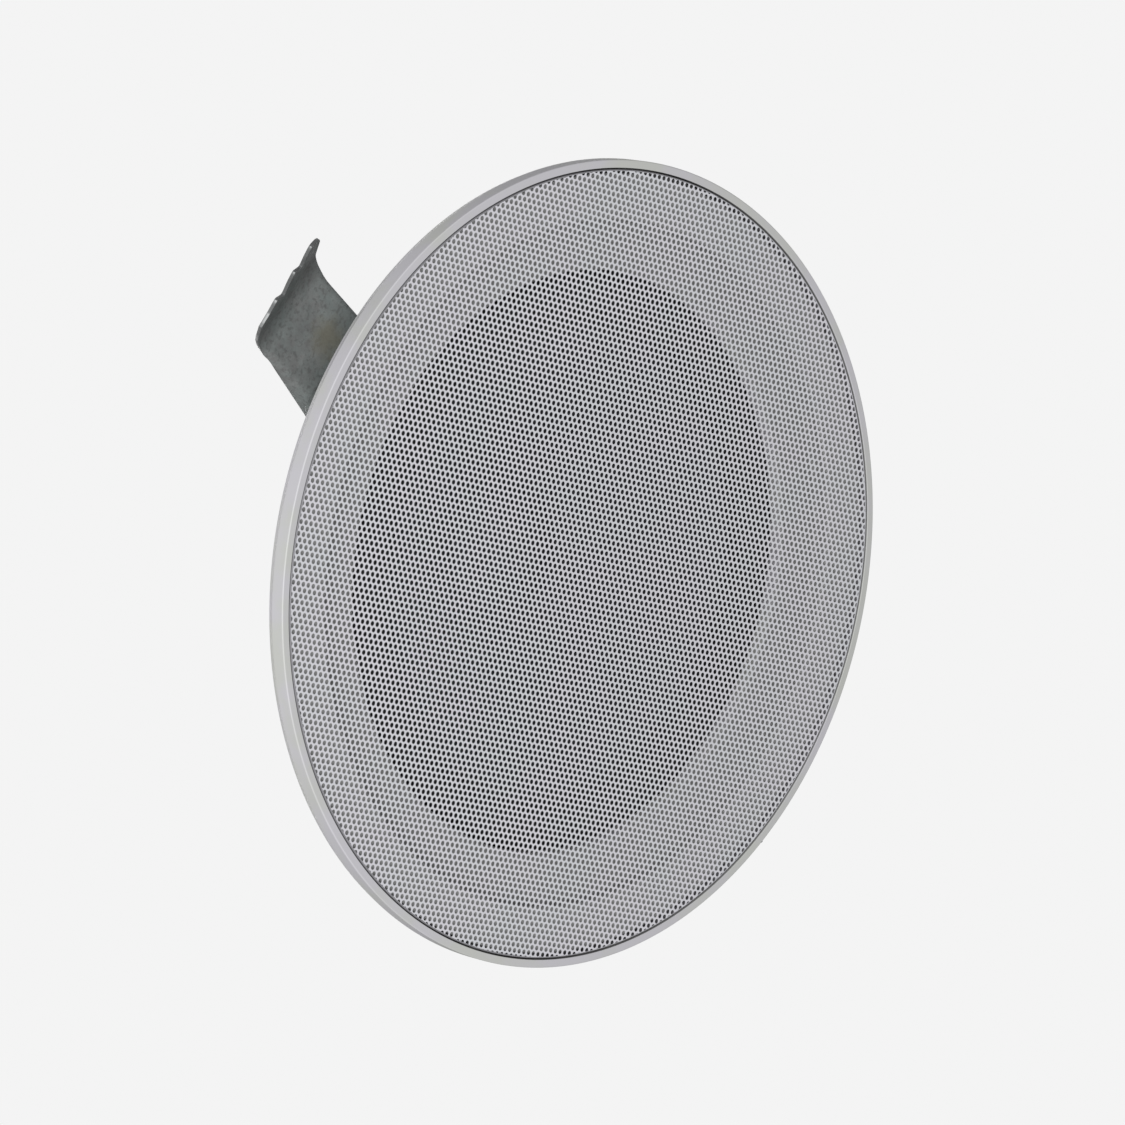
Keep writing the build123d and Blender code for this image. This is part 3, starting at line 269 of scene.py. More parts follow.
def build_perforation_tree():
    """Build the tree that makes one sector of perforated sheet from hexagonal tiles with a hole in each."""
    tree, start = geometry_tree(
        "Perforated sheet",
        {
            "Pitch": ("Float", 0.002),
            "Hole Diameter": ("Float", 0.001),
            "Hole Sides": ("Int", 8),
            "Sheet": ("Float", 0.0006),
            "Row Angle": ("Float", 0.0),
            "Phase X": ("Float", 0.0),
            "Phase Y": ("Float", 0.0),
            "Field Radius": ("Float", 0.1),
            "Sheet Radius": ("Float", 0.1),
            "Edge Height": ("Float", 0.0),
            "Dish": ("Float", 0.0),
            "Sector Start": ("Float", 0.0),
            "Sector Sweep": ("Float", 1.0),
        },
    )
    given = start.outputs
    # One tile: a hexagon with a hole, given its thickness, with no walls where it meets its neighbours
    hexagon = put(
        tree,
        "GeometryNodeCurvePrimitiveCircle",
        {"Resolution": 6, "Radius": calculate(tree, "DIVIDE", given["Pitch"], sqrt(3))},
    )
    upright = put(tree, "GeometryNodeTransform", {"Geometry": hexagon.outputs[0], "Rotation": (0, 0, radians(30))})
    hole = put(
        tree,
        "GeometryNodeCurvePrimitiveCircle",
        {"Resolution": given["Hole Sides"], "Radius": calculate(tree, "DIVIDE", given["Hole Diameter"], 2.0)},
    )
    outlines = joined(tree, upright.outputs[0], hole.outputs[0])
    face = put(tree, "GeometryNodeFillCurve", {"Curve": outlines}, mode="TRIANGLES")
    thick = put(
        tree,
        "GeometryNodeExtrudeMesh",
        {"Mesh": face.outputs[0], "Offset": (0, 0, 1), "Offset Scale": given["Sheet"], "Individual": False},
        mode="FACES",
    )
    place = put(tree, "GeometryNodeInputPosition").outputs[0]
    x, y, z = parts_of(tree, place)
    radius = radius_of(tree, x, y)
    outside = calculate(tree, "GREATER_THAN", radius, calculate(tree, "MULTIPLY", given["Pitch"], 0.45))
    seam = calculate(tree, "MULTIPLY", outside, thick.outputs["Side"])
    open_sided = put(
        tree, "GeometryNodeDeleteGeometry", {"Geometry": thick.outputs["Mesh"], "Selection": seam}, domain="FACE"
    )
    under = put(tree, "GeometryNodeFlipFaces", {"Mesh": face.outputs[0]})
    tile = joined(tree, open_sided.outputs[0], under.outputs[0])
    # The holes' centres, in rows 60 degrees apart, kept where they are in the sector
    reach = calculate(tree, "DIVIDE", given["Field Radius"], given["Pitch"])
    rows = calculate(tree, "CEIL", calculate(tree, "MULTIPLY", reach, 1.16))
    across = calculate(tree, "ADD", calculate(tree, "MULTIPLY", rows, 2.0), 1.0)
    grid = put(tree, "GeometryNodeMeshGrid", {"Vertices X": across, "Vertices Y": across})
    index = put(tree, "GeometryNodeInputIndex").outputs[0]
    row = calculate(tree, "SUBTRACT", calculate(tree, "FLOOR", calculate(tree, "DIVIDE", index, across)), rows)
    column = calculate(tree, "SUBTRACT", calculate(tree, "MODULO", index, across), rows)
    stagger = calculate(tree, "MULTIPLY", calculate(tree, "FLOORED_MODULO", row, 2.0), 0.5)
    along = calculate(tree, "MULTIPLY", calculate(tree, "ADD", column, stagger), given["Pitch"])
    up = calculate(tree, "MULTIPLY", row, given["Pitch"], sqrt(3) / 2)
    turned = put(
        tree,
        "ShaderNodeVectorRotate",
        {"Vector": vector_of(tree, along, up), "Angle": given["Row Angle"]},
        rotation_type="Z_AXIS",
    )
    centre = put(
        tree,
        "ShaderNodeVectorMath",
        {0: turned.outputs[0], 1: vector_of(tree, given["Phase X"], given["Phase Y"])},
        operation="ADD",
    ).outputs[0]
    lattice = put(tree, "GeometryNodeSetPosition", {"Geometry": grid.outputs["Mesh"], "Position": centre})
    far = calculate(tree, "GREATER_THAN", radius, given["Field Radius"])
    bearing = calculate(tree, "SUBTRACT", calculate(tree, "ARCTAN2", y, x), given["Sector Start"])
    outside_sector = calculate(
        tree, "GREATER_THAN", calculate(tree, "FLOORED_MODULO", bearing, tau), given["Sector Sweep"]
    )
    kept = put(
        tree,
        "GeometryNodeDeleteGeometry",
        {"Geometry": lattice.outputs[0], "Selection": calculate(tree, "MAXIMUM", far, outside_sector)},
        domain="POINT",
    )
    spread = put(
        tree,
        "GeometryNodeInstanceOnPoints",
        {"Points": kept.outputs[0], "Instance": tile, "Rotation": vector_of(tree, z=given["Row Angle"])},
    )
    real = put(tree, "GeometryNodeRealizeInstances", {"Geometry": spread.outputs[0]})
    welded = put(tree, "GeometryNodeMergeByDistance", {"Geometry": real.outputs[0], "Distance": 0.02 * MM})
    # The sheet is cut off where its rolled edge starts, also through holes
    beyond = calculate(tree, "GREATER_THAN", radius, given["Sheet Radius"])
    cut = put(tree, "GeometryNodeDeleteGeometry", {"Geometry": welded.outputs[0], "Selection": beyond}, domain="FACE")
    inward = calculate(tree, "MINIMUM", calculate(tree, "DIVIDE", given["Sheet Radius"], radius), 1.0)
    kept_in = calculate(tree, "MINIMUM", radius, given["Sheet Radius"])
    at_x, at_y = (calculate(tree, "MULTIPLY", value, inward) for value in (x, y))
    height = calculate(tree, "ADD", z, sheet_front(tree, kept_in, start))
    dished = put(
        tree, "GeometryNodeSetPosition", {"Geometry": cut.outputs[0], "Position": vector_of(tree, at_x, at_y, height)}
    )
    close_tree(tree, start, dished.outputs[0])
    return tree


def build_revolve_tree():
    """Build the tree that turns a profile, given as points in the XZ plane, about the Z axis."""
    tree, start = geometry_tree(
        "Revolved profile",
        {"Steps": ("Int", ROUND_STEPS), "Start Angle": ("Float", 0.0), "Sweep Angle": ("Float", tau)},
    )
    given = start.outputs
    points = put(tree, "GeometryNodeAttributeDomainSize", {"Geometry": given["Geometry"]}).outputs["Point Count"]
    rows = calculate(tree, "ADD", given["Steps"], 1.0)
    grid = put(tree, "GeometryNodeMeshGrid", {"Vertices X": rows, "Vertices Y": points})
    index = put(tree, "GeometryNodeInputIndex").outputs[0]
    step = calculate(tree, "FLOOR", calculate(tree, "DIVIDE", index, points))
    sample = put(
        tree, "GeometryNodeSampleIndex", {"Geometry": given["Geometry"]}, data_type="FLOAT_VECTOR", domain="POINT"
    )
    place = put(tree, "GeometryNodeInputPosition").outputs[0]
    tree.links.new(place, open_socket(sample.inputs, "Value"))
    tree.links.new(calculate(tree, "MODULO", index, points), open_socket(sample.inputs, "Index"))
    radius, _, height = parts_of(tree, open_socket(sample.outputs, "Value"))
    turn = calculate(tree, "MULTIPLY", calculate(tree, "DIVIDE", step, given["Steps"]), given["Sweep Angle"])
    angle = calculate(tree, "ADD", turn, given["Start Angle"])
    x = calculate(tree, "MULTIPLY", radius, calculate(tree, "COSINE", angle))
    y = calculate(tree, "MULTIPLY", radius, calculate(tree, "SINE", angle))
    turned = put(
        tree, "GeometryNodeSetPosition", {"Geometry": grid.outputs["Mesh"], "Position": vector_of(tree, x, y, height)}
    )
    welded = put(tree, "GeometryNodeMergeByDistance", {"Geometry": turned.outputs[0], "Distance": 0.001 * MM})
    close_tree(tree, start, welded.outputs[0])
    return tree


def build_copies_tree():
    """Build the tree that repeats the piece by turns about the Z axis and steps along a line."""
    tree, start = geometry_tree(
        "Repeated piece",
        {
            "Count": ("Int", 4),
            "Start Angle": ("Float", 0.0),
            "Step Angle": ("Float", 0.0),
            "Step": ("Vector", (0.0, 0.0, 0.0)),
        },
    )
    given = start.outputs
    line = put(tree, "GeometryNodeMeshLine", {"Count": given["Count"], "Offset": given["Step"]}, mode="OFFSET")
    index = put(tree, "GeometryNodeInputIndex").outputs[0]
    angle = calculate(tree, "ADD", calculate(tree, "MULTIPLY", index, given["Step Angle"]), given["Start Angle"])
    copies = put(
        tree,
        "GeometryNodeInstanceOnPoints",
        {"Points": line.outputs[0], "Instance": given["Geometry"], "Rotation": vector_of(tree, z=angle)},
    )
    close_tree(tree, start, copies.outputs[0])
    return tree


def build_placing_tree():
    """Build the tree that sets a template on each point of the piece, turned by a random amount about Z."""
    tree, start = geometry_tree(
        "Template on points", {"Template": ("Object", None), "Most Turn": ("Float", 0.0), "Seed": ("Int", 0)}
    )
    given = start.outputs
    template = put(tree, "GeometryNodeObjectInfo", {"Object": given["Template"]}).outputs["Geometry"]
    turn = put(tree, "FunctionNodeRandomValue", {"Max": given["Most Turn"], "Seed": given["Seed"]}, data_type="FLOAT")
    copies = put(
        tree,
        "GeometryNodeInstanceOnPoints",
        {
            "Points": given["Geometry"],
            "Instance": template,
            "Rotation": vector_of(tree, z=open_socket(turn.outputs, "Value")),
        },
    )
    close_tree(tree, start, copies.outputs[0])
    return tree


def build_wire_tree():
    """Build the tree that gives a round wire to a line of points."""
    tree, start = geometry_tree("Round wire", {"Radius": ("Float", 0.0005), "Sides": ("Int", 12)})
    given = start.outputs
    line = put(tree, "GeometryNodeMeshToCurve", {"Mesh": given["Geometry"]})
    section = put(tree, "GeometryNodeCurvePrimitiveCircle", {"Resolution": given["Sides"], "Radius": given["Radius"]})
    tube = put(
        tree,
        "GeometryNodeCurveToMesh",
        {"Curve": line.outputs[0], "Profile Curve": section.outputs[0], "Fill Caps": True},
    )
    close_tree(tree, start, tube.outputs[0])
    return tree


TREE_BUILDERS = {
    "Perforated sheet": build_perforation_tree,
    "Revolved profile": build_revolve_tree,
    "Repeated piece": build_copies_tree,
    "Template on points": build_placing_tree,
    "Round wire": build_wire_tree,
}


def titled(values):
    """Return the values under the titles that a group's sockets have."""
    return {key.replace("_", " ").title(): value for key, value in values.items()}


def run_tree(obj, tree_name, material, **values):
    """Run a geometry tree on a piece and keep its result as the piece's own plain mesh."""
    tree = bpy.data.node_groups.get(tree_name) or TREE_BUILDERS[tree_name]()
    modifier = obj.modifiers.new(tree_name, "NODES")
    modifier.node_group = tree
    given = {**titled(values), "Material": material}
    for item in tree.interface.items_tree:
        if item.in_out == "INPUT" and item.name in given:
            modifier[item.identifier] = given[item.name]
    keep_result(obj)


# Meshes


def new_piece(name, vertices, edges=(), faces=()):
    """Make a mesh object at the origin from points, edges and faces."""
    mesh = bpy.data.meshes.new(name)
    mesh.from_pydata([tuple(vertex) for vertex in vertices], edges, faces)
    obj = bpy.data.objects.new(name, mesh)
    bpy.context.scene.collection.objects.link(obj)
    return obj


def keep_result(obj):
    """Turn what a piece's modifiers make into its own plain mesh."""
    graph = bpy.context.evaluated_depsgraph_get()
    mesh = bpy.data.meshes.new_from_object(obj.evaluated_get(graph), depsgraph=graph)
    obj.modifiers.clear()
    before = obj.data
    obj.data = mesh
    name = before.name
    bpy.data.meshes.remove(before)
    mesh.name = name


def tidy_faces(obj, sharp=radians(32), close_ends=False):
    """Weld a piece, turn its faces outwards and shade it smooth between sharp edges."""
    shape = bmesh.new()
    shape.from_mesh(obj.data)
    bmesh.ops.remove_doubles(shape, verts=shape.verts, dist=0.001 * MM)
    if close_ends:
        bmesh.ops.holes_fill(shape, edges=[edge for edge in shape.edges if edge.is_boundary], sides=0)
    bmesh.ops.recalc_face_normals(shape, faces=shape.faces)
    shape.to_mesh(obj.data)
    shape.free()
    obj.data.shade_smooth()
    obj.data.set_sharp_from_angle(angle=sharp)


def prism_faces(count):
    """Return the faces of a prism, each of whose ends has so many corners."""
    ends = [tuple(reversed(range(count))), tuple(range(count, 2 * count))]
    return ends + [(i, (i + 1) % count, count + (i + 1) % count, count + i) for i in range(count)]


def line_piece(name, points):
    """Make a piece that is an open line through points."""
    return new_piece(name, points, edges=[(i, i + 1) for i in range(len(points) - 1)])


def rounded_profile(corners, steps=6):
    """Return a profile in the XZ plane with each corner (radius, height, rounding) rounded in steps, in millimetres."""
    points = []
    flat = [Vector((corner[0], corner[1])) for corner in corners]
    for place, corner in enumerate(corners):
        rounding = corner[2] if len(corner) > 2 else 0.0
        here = flat[place]
        if not rounding or place in (0, len(corners) - 1):
            points.append(here)
            continue
        before = (flat[place - 1] - here).normalized()
        after = (flat[place + 1] - here).normalized()
        half = before.angle(after) / 2
        reach = rounding / tan(half)
        middle = here + (before + after).normalized() * rounding / sin(half)
        first = here + before * reach - middle
        last = here + after * reach - middle
        beside = min(0.06, rounding / 4)
        points.append(middle + first + before * beside)
        points += [middle + first.slerp(last, step / steps).normalized() * rounding for step in range(steps + 1)]
        points.append(middle + last + after * beside)
    return [Vector((point.x * MM, 0, point.y * MM)) for point in points]


def revolved_piece(name, profile, material, steps=ROUND_STEPS, start=0.0, sweep=tau, sharp=radians(32)):
    """Make a piece by turning a closed profile about the Z axis."""
    obj = line_piece(name, profile)
    run_tree(obj, "Revolved profile", material, steps=steps, start_angle=start, sweep_angle=sweep)
    tidy_faces(obj, sharp, close_ends=sweep < tau)
    return obj


def copied_node(name, node, material, edge=0.0, segments=2, sharp=radians(32)):
    """Make a piece from a CAD node's shape, with its faces joined and its edges rounded."""
    shape = bmesh.new()
    shape.from_mesh(frame["nodes"][node].data)
    bmesh.ops.remove_doubles(shape, verts=shape.verts, dist=0.001 * MM)
    bmesh.ops.dissolve_limit(
        shape, angle_limit=radians(0.5), verts=shape.verts, edges=shape.edges, use_dissolve_boundaries=False
    )
    mesh = bpy.data.meshes.new(name)
    shape.to_mesh(mesh)
    shape.free()
    obj = bpy.data.objects.new(name, mesh)
    bpy.context.scene.collection.objects.link(obj)
    if edge:
        bevel = obj.modifiers.new("Rounded edges", "BEVEL")
        bevel.width = edge
        bevel.segments = segments
        bevel.limit_method = "ANGLE"
        bevel.angle_limit = radians(35)
        keep_result(obj)
    obj.data.materials.clear()
    obj.data.materials.append(material)
    obj.data.shade_smooth()
    obj.data.set_sharp_from_angle(angle=sharp)
    return obj


def place_piece(obj, body, *nodes):
    """Hide the CAD nodes that a piece stands for and attach the piece to the body it rides on."""
    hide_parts(*nodes)
    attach(obj, body)


def bend_piece(obj, node):
    """Hide the CAD node that a soft piece stands for, and bake the piece's place into its mesh."""
    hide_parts(node)
    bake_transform(obj)


def wire_piece(name, points, material, radius, sides=12):
    """Make a piece that is a round wire through points."""
    wire = line_piece(name, points)
    run_tree(wire, "Round wire", material, radius=radius, sides=sides)
    tidy_faces(wire)
    return wire


def smooth_route(corners, steps=8):
    """Return points of a smooth line from the first corner to the last that cuts inside the corners between."""
    corners = [Vector(corner) for corner in corners]
    points = [corners[0]]
    middles = [(a + b) / 2 for a, b in zip(corners[1:-1], corners[2:-1])]
    starts = [corners[0]] + middles
    ends = middles + [corners[-1]]
    for start, corner, end in zip(starts, corners[1:-1], ends):
        for step in range(1, steps + 1):
            share = step / steps
            points.append(start * (1 - share) ** 2 + corner * 2 * share * (1 - share) + end * share**2)
    return points


def around(radius, angle, height):
    """Return the place at a radius, an angle in degrees and a height, given in millimetres."""
    return Vector((radius * cos(radians(angle)), radius * sin(radians(angle)), height)) * MM


# Finishes


def effect_group(name, inputs, outputs):
    """Start a shader group with named inputs and outputs and return it with its input node."""
    tree = bpy.data.node_groups.new(name, "ShaderNodeTree")
    for label, (kind, default) in inputs.items():
        tree.interface.new_socket(label, in_out="INPUT", socket_type="NodeSocket" + kind).default_value = default
    for label, kind in outputs.items():
        tree.interface.new_socket(label, in_out="OUTPUT", socket_type="NodeSocket" + kind)
    return tree, tree.nodes.new("NodeGroupInput").outputs


def close_group(tree, **values):
    """Link the values of a shader group to its outputs."""
    end = tree.nodes.new("NodeGroupOutput")
    for key, value in values.items():
        tree.links.new(value, end.inputs[key])


def object_place(tree):
    """Return the place on the piece that its patterns are laid out from."""
    return put(tree, "ShaderNodeTexCoord").outputs["Object"]


def noise(tree, scale, detail=3.0, place=None):
    """Add a noise texture and return its value."""
    place = place or object_place(tree)
    texture = put(tree, "ShaderNodeTexNoise", {"Vector": place, "Scale": scale, "Detail": detail, "Roughness": 0.6})
    return texture.outputs["Fac"]


def spread(tree, value, low, high, start=0.0, end=1.0):
    """Map a value between two limits onto a range, smoothly, and return it."""
    fitted = put(
        tree,
        "ShaderNodeMapRange",
        {"Value": value, "From Min": start, "From Max": end, "To Min": low, "To Max": high},
        interpolation_type="SMOOTHSTEP",
    )
    return fitted.outputs["Result"]


def mixed(tree, share, first, second):
    """Mix two colours and return the result."""
    node = put(tree, "ShaderNodeMix", {"Factor": share, "A": first, "B": second}, data_type="RGBA")
    return open_socket(node.outputs, "Result")


def build_grain_group():
    """Build the group for an even grain: a fine height and a slowly changing roughness."""
    tree, given = effect_group(
        "Grain",
        {"Scale": ("Float", 2000.0), "Roughness": ("Float", 0.5), "Roughness Spread": ("Float", 0.1)},
        {"Height": "Float", "Roughness": "Float", "Mask": "Float"},
    )
    slow = noise(tree, calculate(tree, "MULTIPLY", given["Scale"], 0.05), 2.0)
    change = calculate(tree, "MULTIPLY", calculate(tree, "SUBTRACT", slow, 0.5), given["Roughness Spread"])
    close_group(
        tree,
        Height=noise(tree, given["Scale"], 3.0),
        Roughness=calculate(tree, "ADD", given["Roughness"], change),
        Mask=slow,
    )
    return tree


def build_mottle_group():
    """Build the group for a blotchy colour between two tones."""
    tree, given = effect_group(
        "Mottle",
        {
            "Light": ("Color", (1, 1, 1, 1)),
            "Dark": ("Color", (0, 0, 0, 1)),
            "Scale": ("Float", 100.0),
            "Softness": ("Float", 0.2),
        },
        {"Color": "Color", "Mask": "Float"},
    )
    low = calculate(tree, "SUBTRACT", 0.5, given["Softness"])
    high = calculate(tree, "ADD", 0.5, given["Softness"])
    mask = spread(tree, noise(tree, given["Scale"], 5.0), 0.0, 1.0, low, high)
    close_group(tree, Color=mixed(tree, mask, given["Dark"], given["Light"]), Mask=mask)
    return tree


def build_spangle_group():
    """Build the group for a zinc coat's crystals: a tone, a roughness and a faint height for each."""
    tree, given = effect_group(
        "Spangle",
        {"Scale": ("Float", 300.0), "Roughness": ("Float", 0.45), "Roughness Spread": ("Float", 0.15)},
        {"Tone": "Float", "Roughness": "Float", "Height": "Float"},
    )
    place = object_place(tree)
    warp = put(tree, "ShaderNodeTexNoise", {"Vector": place, "Scale": given["Scale"], "Detail": 2.0})
    push = put(tree, "ShaderNodeVectorMath", {0: warp.outputs["Color"], "Scale": 0.0012}, operation="SCALE").outputs[0]
    moved = put(tree, "ShaderNodeVectorMath", {0: place, 1: push}, operation="ADD").outputs[0]
    cells = put(tree, "ShaderNodeTexVoronoi", {"Vector": moved, "Scale": given["Scale"]}).outputs["Color"]
    tone, other, height = put(tree, "ShaderNodeSeparateColor", {"Color": cells}).outputs
    change = calculate(tree, "MULTIPLY", calculate(tree, "SUBTRACT", other, 0.5), given["Roughness Spread"])
    close_group(tree, Tone=tone, Roughness=calculate(tree, "ADD", given["Roughness"], change), Height=height)
    return tree


def build_spot_group():
    """Build the group for a broken-up spot round a place."""
    tree, given = effect_group(
        "Spot",
        {"Centre": ("Vector", (0, 0, 0)), "Radius": ("Float", 0.01), "Scale": ("Float", 300.0)},
        {"Mask": "Float"},
    )
    away = put(
        tree, "ShaderNodeVectorMath", {0: object_place(tree), 1: given["Centre"]}, operation="DISTANCE"
    ).outputs["Value"]
    share = calculate(tree, "DIVIDE", away, given["Radius"])
    ragged = calculate(tree, "ADD", share, calculate(tree, "SUBTRACT", noise(tree, given["Scale"], 5.0), 0.5))
    close_group(tree, Mask=spread(tree, ragged, 1.0, 0.0, 0.1, 1.1))
    return tree


def build_painted_shade_group():
    """Build the group for painted shade in a ring-shaped recess about the Z axis: a mask of 1 between two radii and two
    heights, where a coat is darkened to stand in for shade.
    """
    tree, given = effect_group(
        "Recess",
        {
            "Inner Radius": ("Float", 0.0),
            "Outer Radius": ("Float", 0.1),
            "Height": ("Float", 0.0),
            "Depth": ("Float", 0.01),
        },
        {"Mask": "Float"},
    )
    x, y, z = parts_of(tree, object_place(tree))
    radius = radius_of(tree, x, y)
    inside = calculate(tree, "LESS_THAN", radius, given["Outer Radius"])
    outside = calculate(tree, "GREATER_THAN", radius, given["Inner Radius"])
    behind = calculate(tree, "SUBTRACT", z, given["Height"])
    deep = spread(tree, behind, 0.0, 1.0, -0.1 * MM, 0.1 * MM)
    before = calculate(tree, "LESS_THAN", behind, given["Depth"])
    close_group(tree, Mask=calculate(tree, "MULTIPLY", inside, outside, deep, before))
    return tree


def build_weave_group():
    """Build the group for crossed threads."""
    tree, given = effect_group("Weave", {"Thread": ("Float", 0.0004)}, {"Height": "Float"})
    x, y, _ = parts_of(tree, object_place(tree))
    turn = calculate(tree, "DIVIDE", tau, given["Thread"])
    warp = calculate(tree, "SINE", calculate(tree, "MULTIPLY", x, turn))
    weft = calculate(tree, "SINE", calculate(tree, "MULTIPLY", y, turn))
    close_group(tree, Height=calculate(tree, "ADD", calculate(tree, "MULTIPLY", warp, weft), 1.0))
    return tree


def build_rings_group():
    """Build the group for the fine rings that turning leaves, round the Z axis."""
    tree, given = effect_group("Turned rings", {"Pitch": ("Float", 0.0004)}, {"Height": "Float"})
    x, y, _ = parts_of(tree, object_place(tree))
    turn = calculate(tree, "DIVIDE", tau, given["Pitch"])
    wave = calculate(tree, "SINE", calculate(tree, "MULTIPLY", radius_of(tree, x, y), turn))
    close_group(tree, Height=calculate(tree, "MULTIPLY", wave, noise(tree, 900.0, 2.0)))
    return tree


def build_winding_group():
    """Build the group for the turns of a winding, one above the other along Z."""
    tree, given = effect_group("Winding", {"Pitch": ("Float", 0.0003)}, {"Height": "Float"})
    _, _, z = parts_of(tree, object_place(tree))
    wave = calculate(tree, "SINE", calculate(tree, "MULTIPLY", z, calculate(tree, "DIVIDE", pi, given["Pitch"])))
    close_group(tree, Height=calculate(tree, "ABSOLUTE", wave))
    return tree


GROUP_BUILDERS = {
    "Grain": build_grain_group,
    "Mottle": build_mottle_group,
    "Spangle": build_spangle_group,
    "Spot": build_spot_group,
    "Recess": build_painted_shade_group,
    "Weave": build_weave_group,
    "Turned rings": build_rings_group,
    "Winding": build_winding_group,
}


def effect(tree, name, **values):
    """Place a shared effect in a material with its own values and return its outputs."""
    group = bpy.data.node_groups.get(name) or GROUP_BUILDERS[name]()
    return put(tree, "ShaderNodeGroup", titled(values), node_tree=group).outputs


# The plain materials that come with the frame have the slots' own names
FINISH_ENDING = "_finish"


def new_finish(name, metallic=0.0, specular=0.5):
    """Start a material and return its node tree and its shader's inputs."""
    material = bpy.data.materials.new(name + FINISH_ENDING)
    material.use_nodes = True
    shader = material.node_tree.nodes["Principled BSDF"]
    shader.inputs["Metallic"].default_value = metallic
    shader.inputs["Specular IOR Level"].default_value = specular
    return material.node_tree, shader.inputs


def cover(tree, shader, colour, roughness, *reliefs):
    """Link a colour, a roughness and a normal from pairs of a height and its depth in metres to a shader."""
    tree.links.new(colour, shader["Base Color"])
    tree.links.new(roughness, shader["Roughness"])
    inputs = {}
    for height, depth in reliefs:
        relief = put(tree, "ShaderNodeBump", {"Height": height, "Distance": depth, "Strength": 1.0, **inputs})
        inputs = {"Normal": relief.outputs[0]}
    tree.links.new(inputs["Normal"], shader["Normal"])


def shade_of(colour, factor):
    """Return a colour with its brightness changed by a factor."""
    return tuple(min(1.0, value * factor) for value in colour) + (1.0,)


def plain_finish(
    name, colour, roughness, grain=2000.0, depth=0.02 * MM, metallic=0.0, contrast=0.12, mottle=60.0, specular=0.5
):
    """Make a material of one colour with a blotchy tone, a fine grain and an uneven roughness."""
    tree, shader = new_finish(name, metallic=metallic, specular=specular)
    tone = effect(
        tree, "Mottle", light=shade_of(colour, 1 + contrast), dark=shade_of(colour, 1 - contrast), scale=mottle
    )
    surface = effect(tree, "Grain", scale=grain, roughness=roughness, roughness_spread=0.2)
    cover(tree, shader, tone["Color"], surface["Roughness"], (surface["Height"], depth))


def coated_finish(name, colour, warm, cool, roughness, grain, painted_shade_rings):
    """Make a pale coat with faint patches of two tints and painted shade: darker in ring-shaped recesses, where shade
    falls.
    """
    tree, shader = new_finish(name)
    tints = [tuple(value * tint for value, tint in zip(colour, tints)) for tints in (warm, cool)]
    tone = effect(
        tree, "Mottle", light=shade_of(tints[0], 1.0), dark=shade_of(tints[1], 1.0), scale=42.0, softness=0.12
    )
    shown = tone["Color"]
    # Painted shade: in each ring-shaped recess the colour is mixed towards a darker share of itself, standing in for
    # the shade there
    for inner, outer, above, depth, share in painted_shade_rings:
        recess = effect(tree, "Recess", inner_radius=inner, outer_radius=outer, height=above, depth=depth)
        shown = mixed(tree, recess["Mask"], shown, shade_of(colour, share))
    surface = effect(tree, "Grain", scale=grain, roughness=roughness, roughness_spread=0.2)
    cover(tree, shader, shown, surface["Roughness"], (surface["Height"], 0.02 * MM))


def galvanised_finish(name, colour, metallic=0.3, stain_places=()):
    """Make the finish of zinc-coated sheet, with crystals, blotches, specks and stains."""
    tree, shader = new_finish(name, metallic=metallic)
    tone = effect(tree, "Mottle", light=shade_of(colour, 1.12), dark=shade_of(colour, 0.78), scale=170.0, softness=0.2)
    crystals = effect(tree, "Spangle", scale=700.0, roughness=0.56, roughness_spread=0.16)
    cool = shade_of((colour[0] * 0.92, colour[1] * 1.08, colour[2] * 1.06), 1.15)
    shown = mixed(tree, calculate(tree, "MULTIPLY", crystals["Tone"], 0.3), tone["Color"], cool)
    patches = effect(tree, "Mottle", scale=60.0, softness=0.1)
    shown = mixed(tree, calculate(tree, "MULTIPLY", patches["Mask"], 0.35), shown, cool)
    specks = spread(tree, noise(tree, 900.0, 6.0), 0.55, 0.0, 0.38, 0.5)
    shown = mixed(tree, specks, shown, shade_of(colour, 0.55))
    for centre, radius in stain_places:
        spot = effect(tree, "Spot", centre=centre, radius=radius, scale=420.0)
        stain = (colour[0] * 1.0, colour[1] * 0.93, colour[2] * 0.72, 1)
        shown = mixed(tree, calculate(tree, "MULTIPLY", spot["Mask"], 0.75), shown, stain)
    grain = effect(tree, "Grain", scale=1500.0, roughness=0.5, roughness_spread=0.2)
    cover(tree, shader, shown, crystals["Roughness"], (grain["Height"], 0.03 * MM), (crystals["Height"], 0.01 * MM))


def ringed_finish(name, colour, roughness, metallic, pitch=0.35 * MM, depth=0.01 * MM):
    """Make a finish with turned rings on a plain metal or ground surface."""
    tree, shader = new_finish(name, metallic=metallic)
    tone = effect(tree, "Mottle", light=shade_of(colour, 1.12), dark=shade_of(colour, 0.85), scale=90.0)
    grain = effect(tree, "Grain", scale=1800.0, roughness=roughness, roughness_spread=0.2)
    rings = effect(tree, "Turned rings", pitch=pitch)
    cover(tree, shader, tone["Color"], grain["Roughness"], (grain["Height"], 0.01 * MM), (rings["Height"], depth))


def cloth_finish(name, colour, roughness, thread, depth=0.08 * MM):
    """Make the finish of woven cloth stiffened with resin."""
    tree, shader = new_finish(name, specular=0.3)
    weave = effect(tree, "Weave", thread=thread)
    tone = effect(tree, "Mottle", light=shade_of(colour, 1.2), dark=shade_of(colour, 0.75), scale=150.0)
    grain = effect(tree, "Grain", scale=2500.0, roughness=roughness, roughness_spread=0.15)
    shown = mixed(tree, calculate(tree, "MULTIPLY", weave["Height"], 0.25), shade_of(colour, 0.6), tone["Color"])
    cover(tree, shader, shown, grain["Roughness"], (weave["Height"], depth))


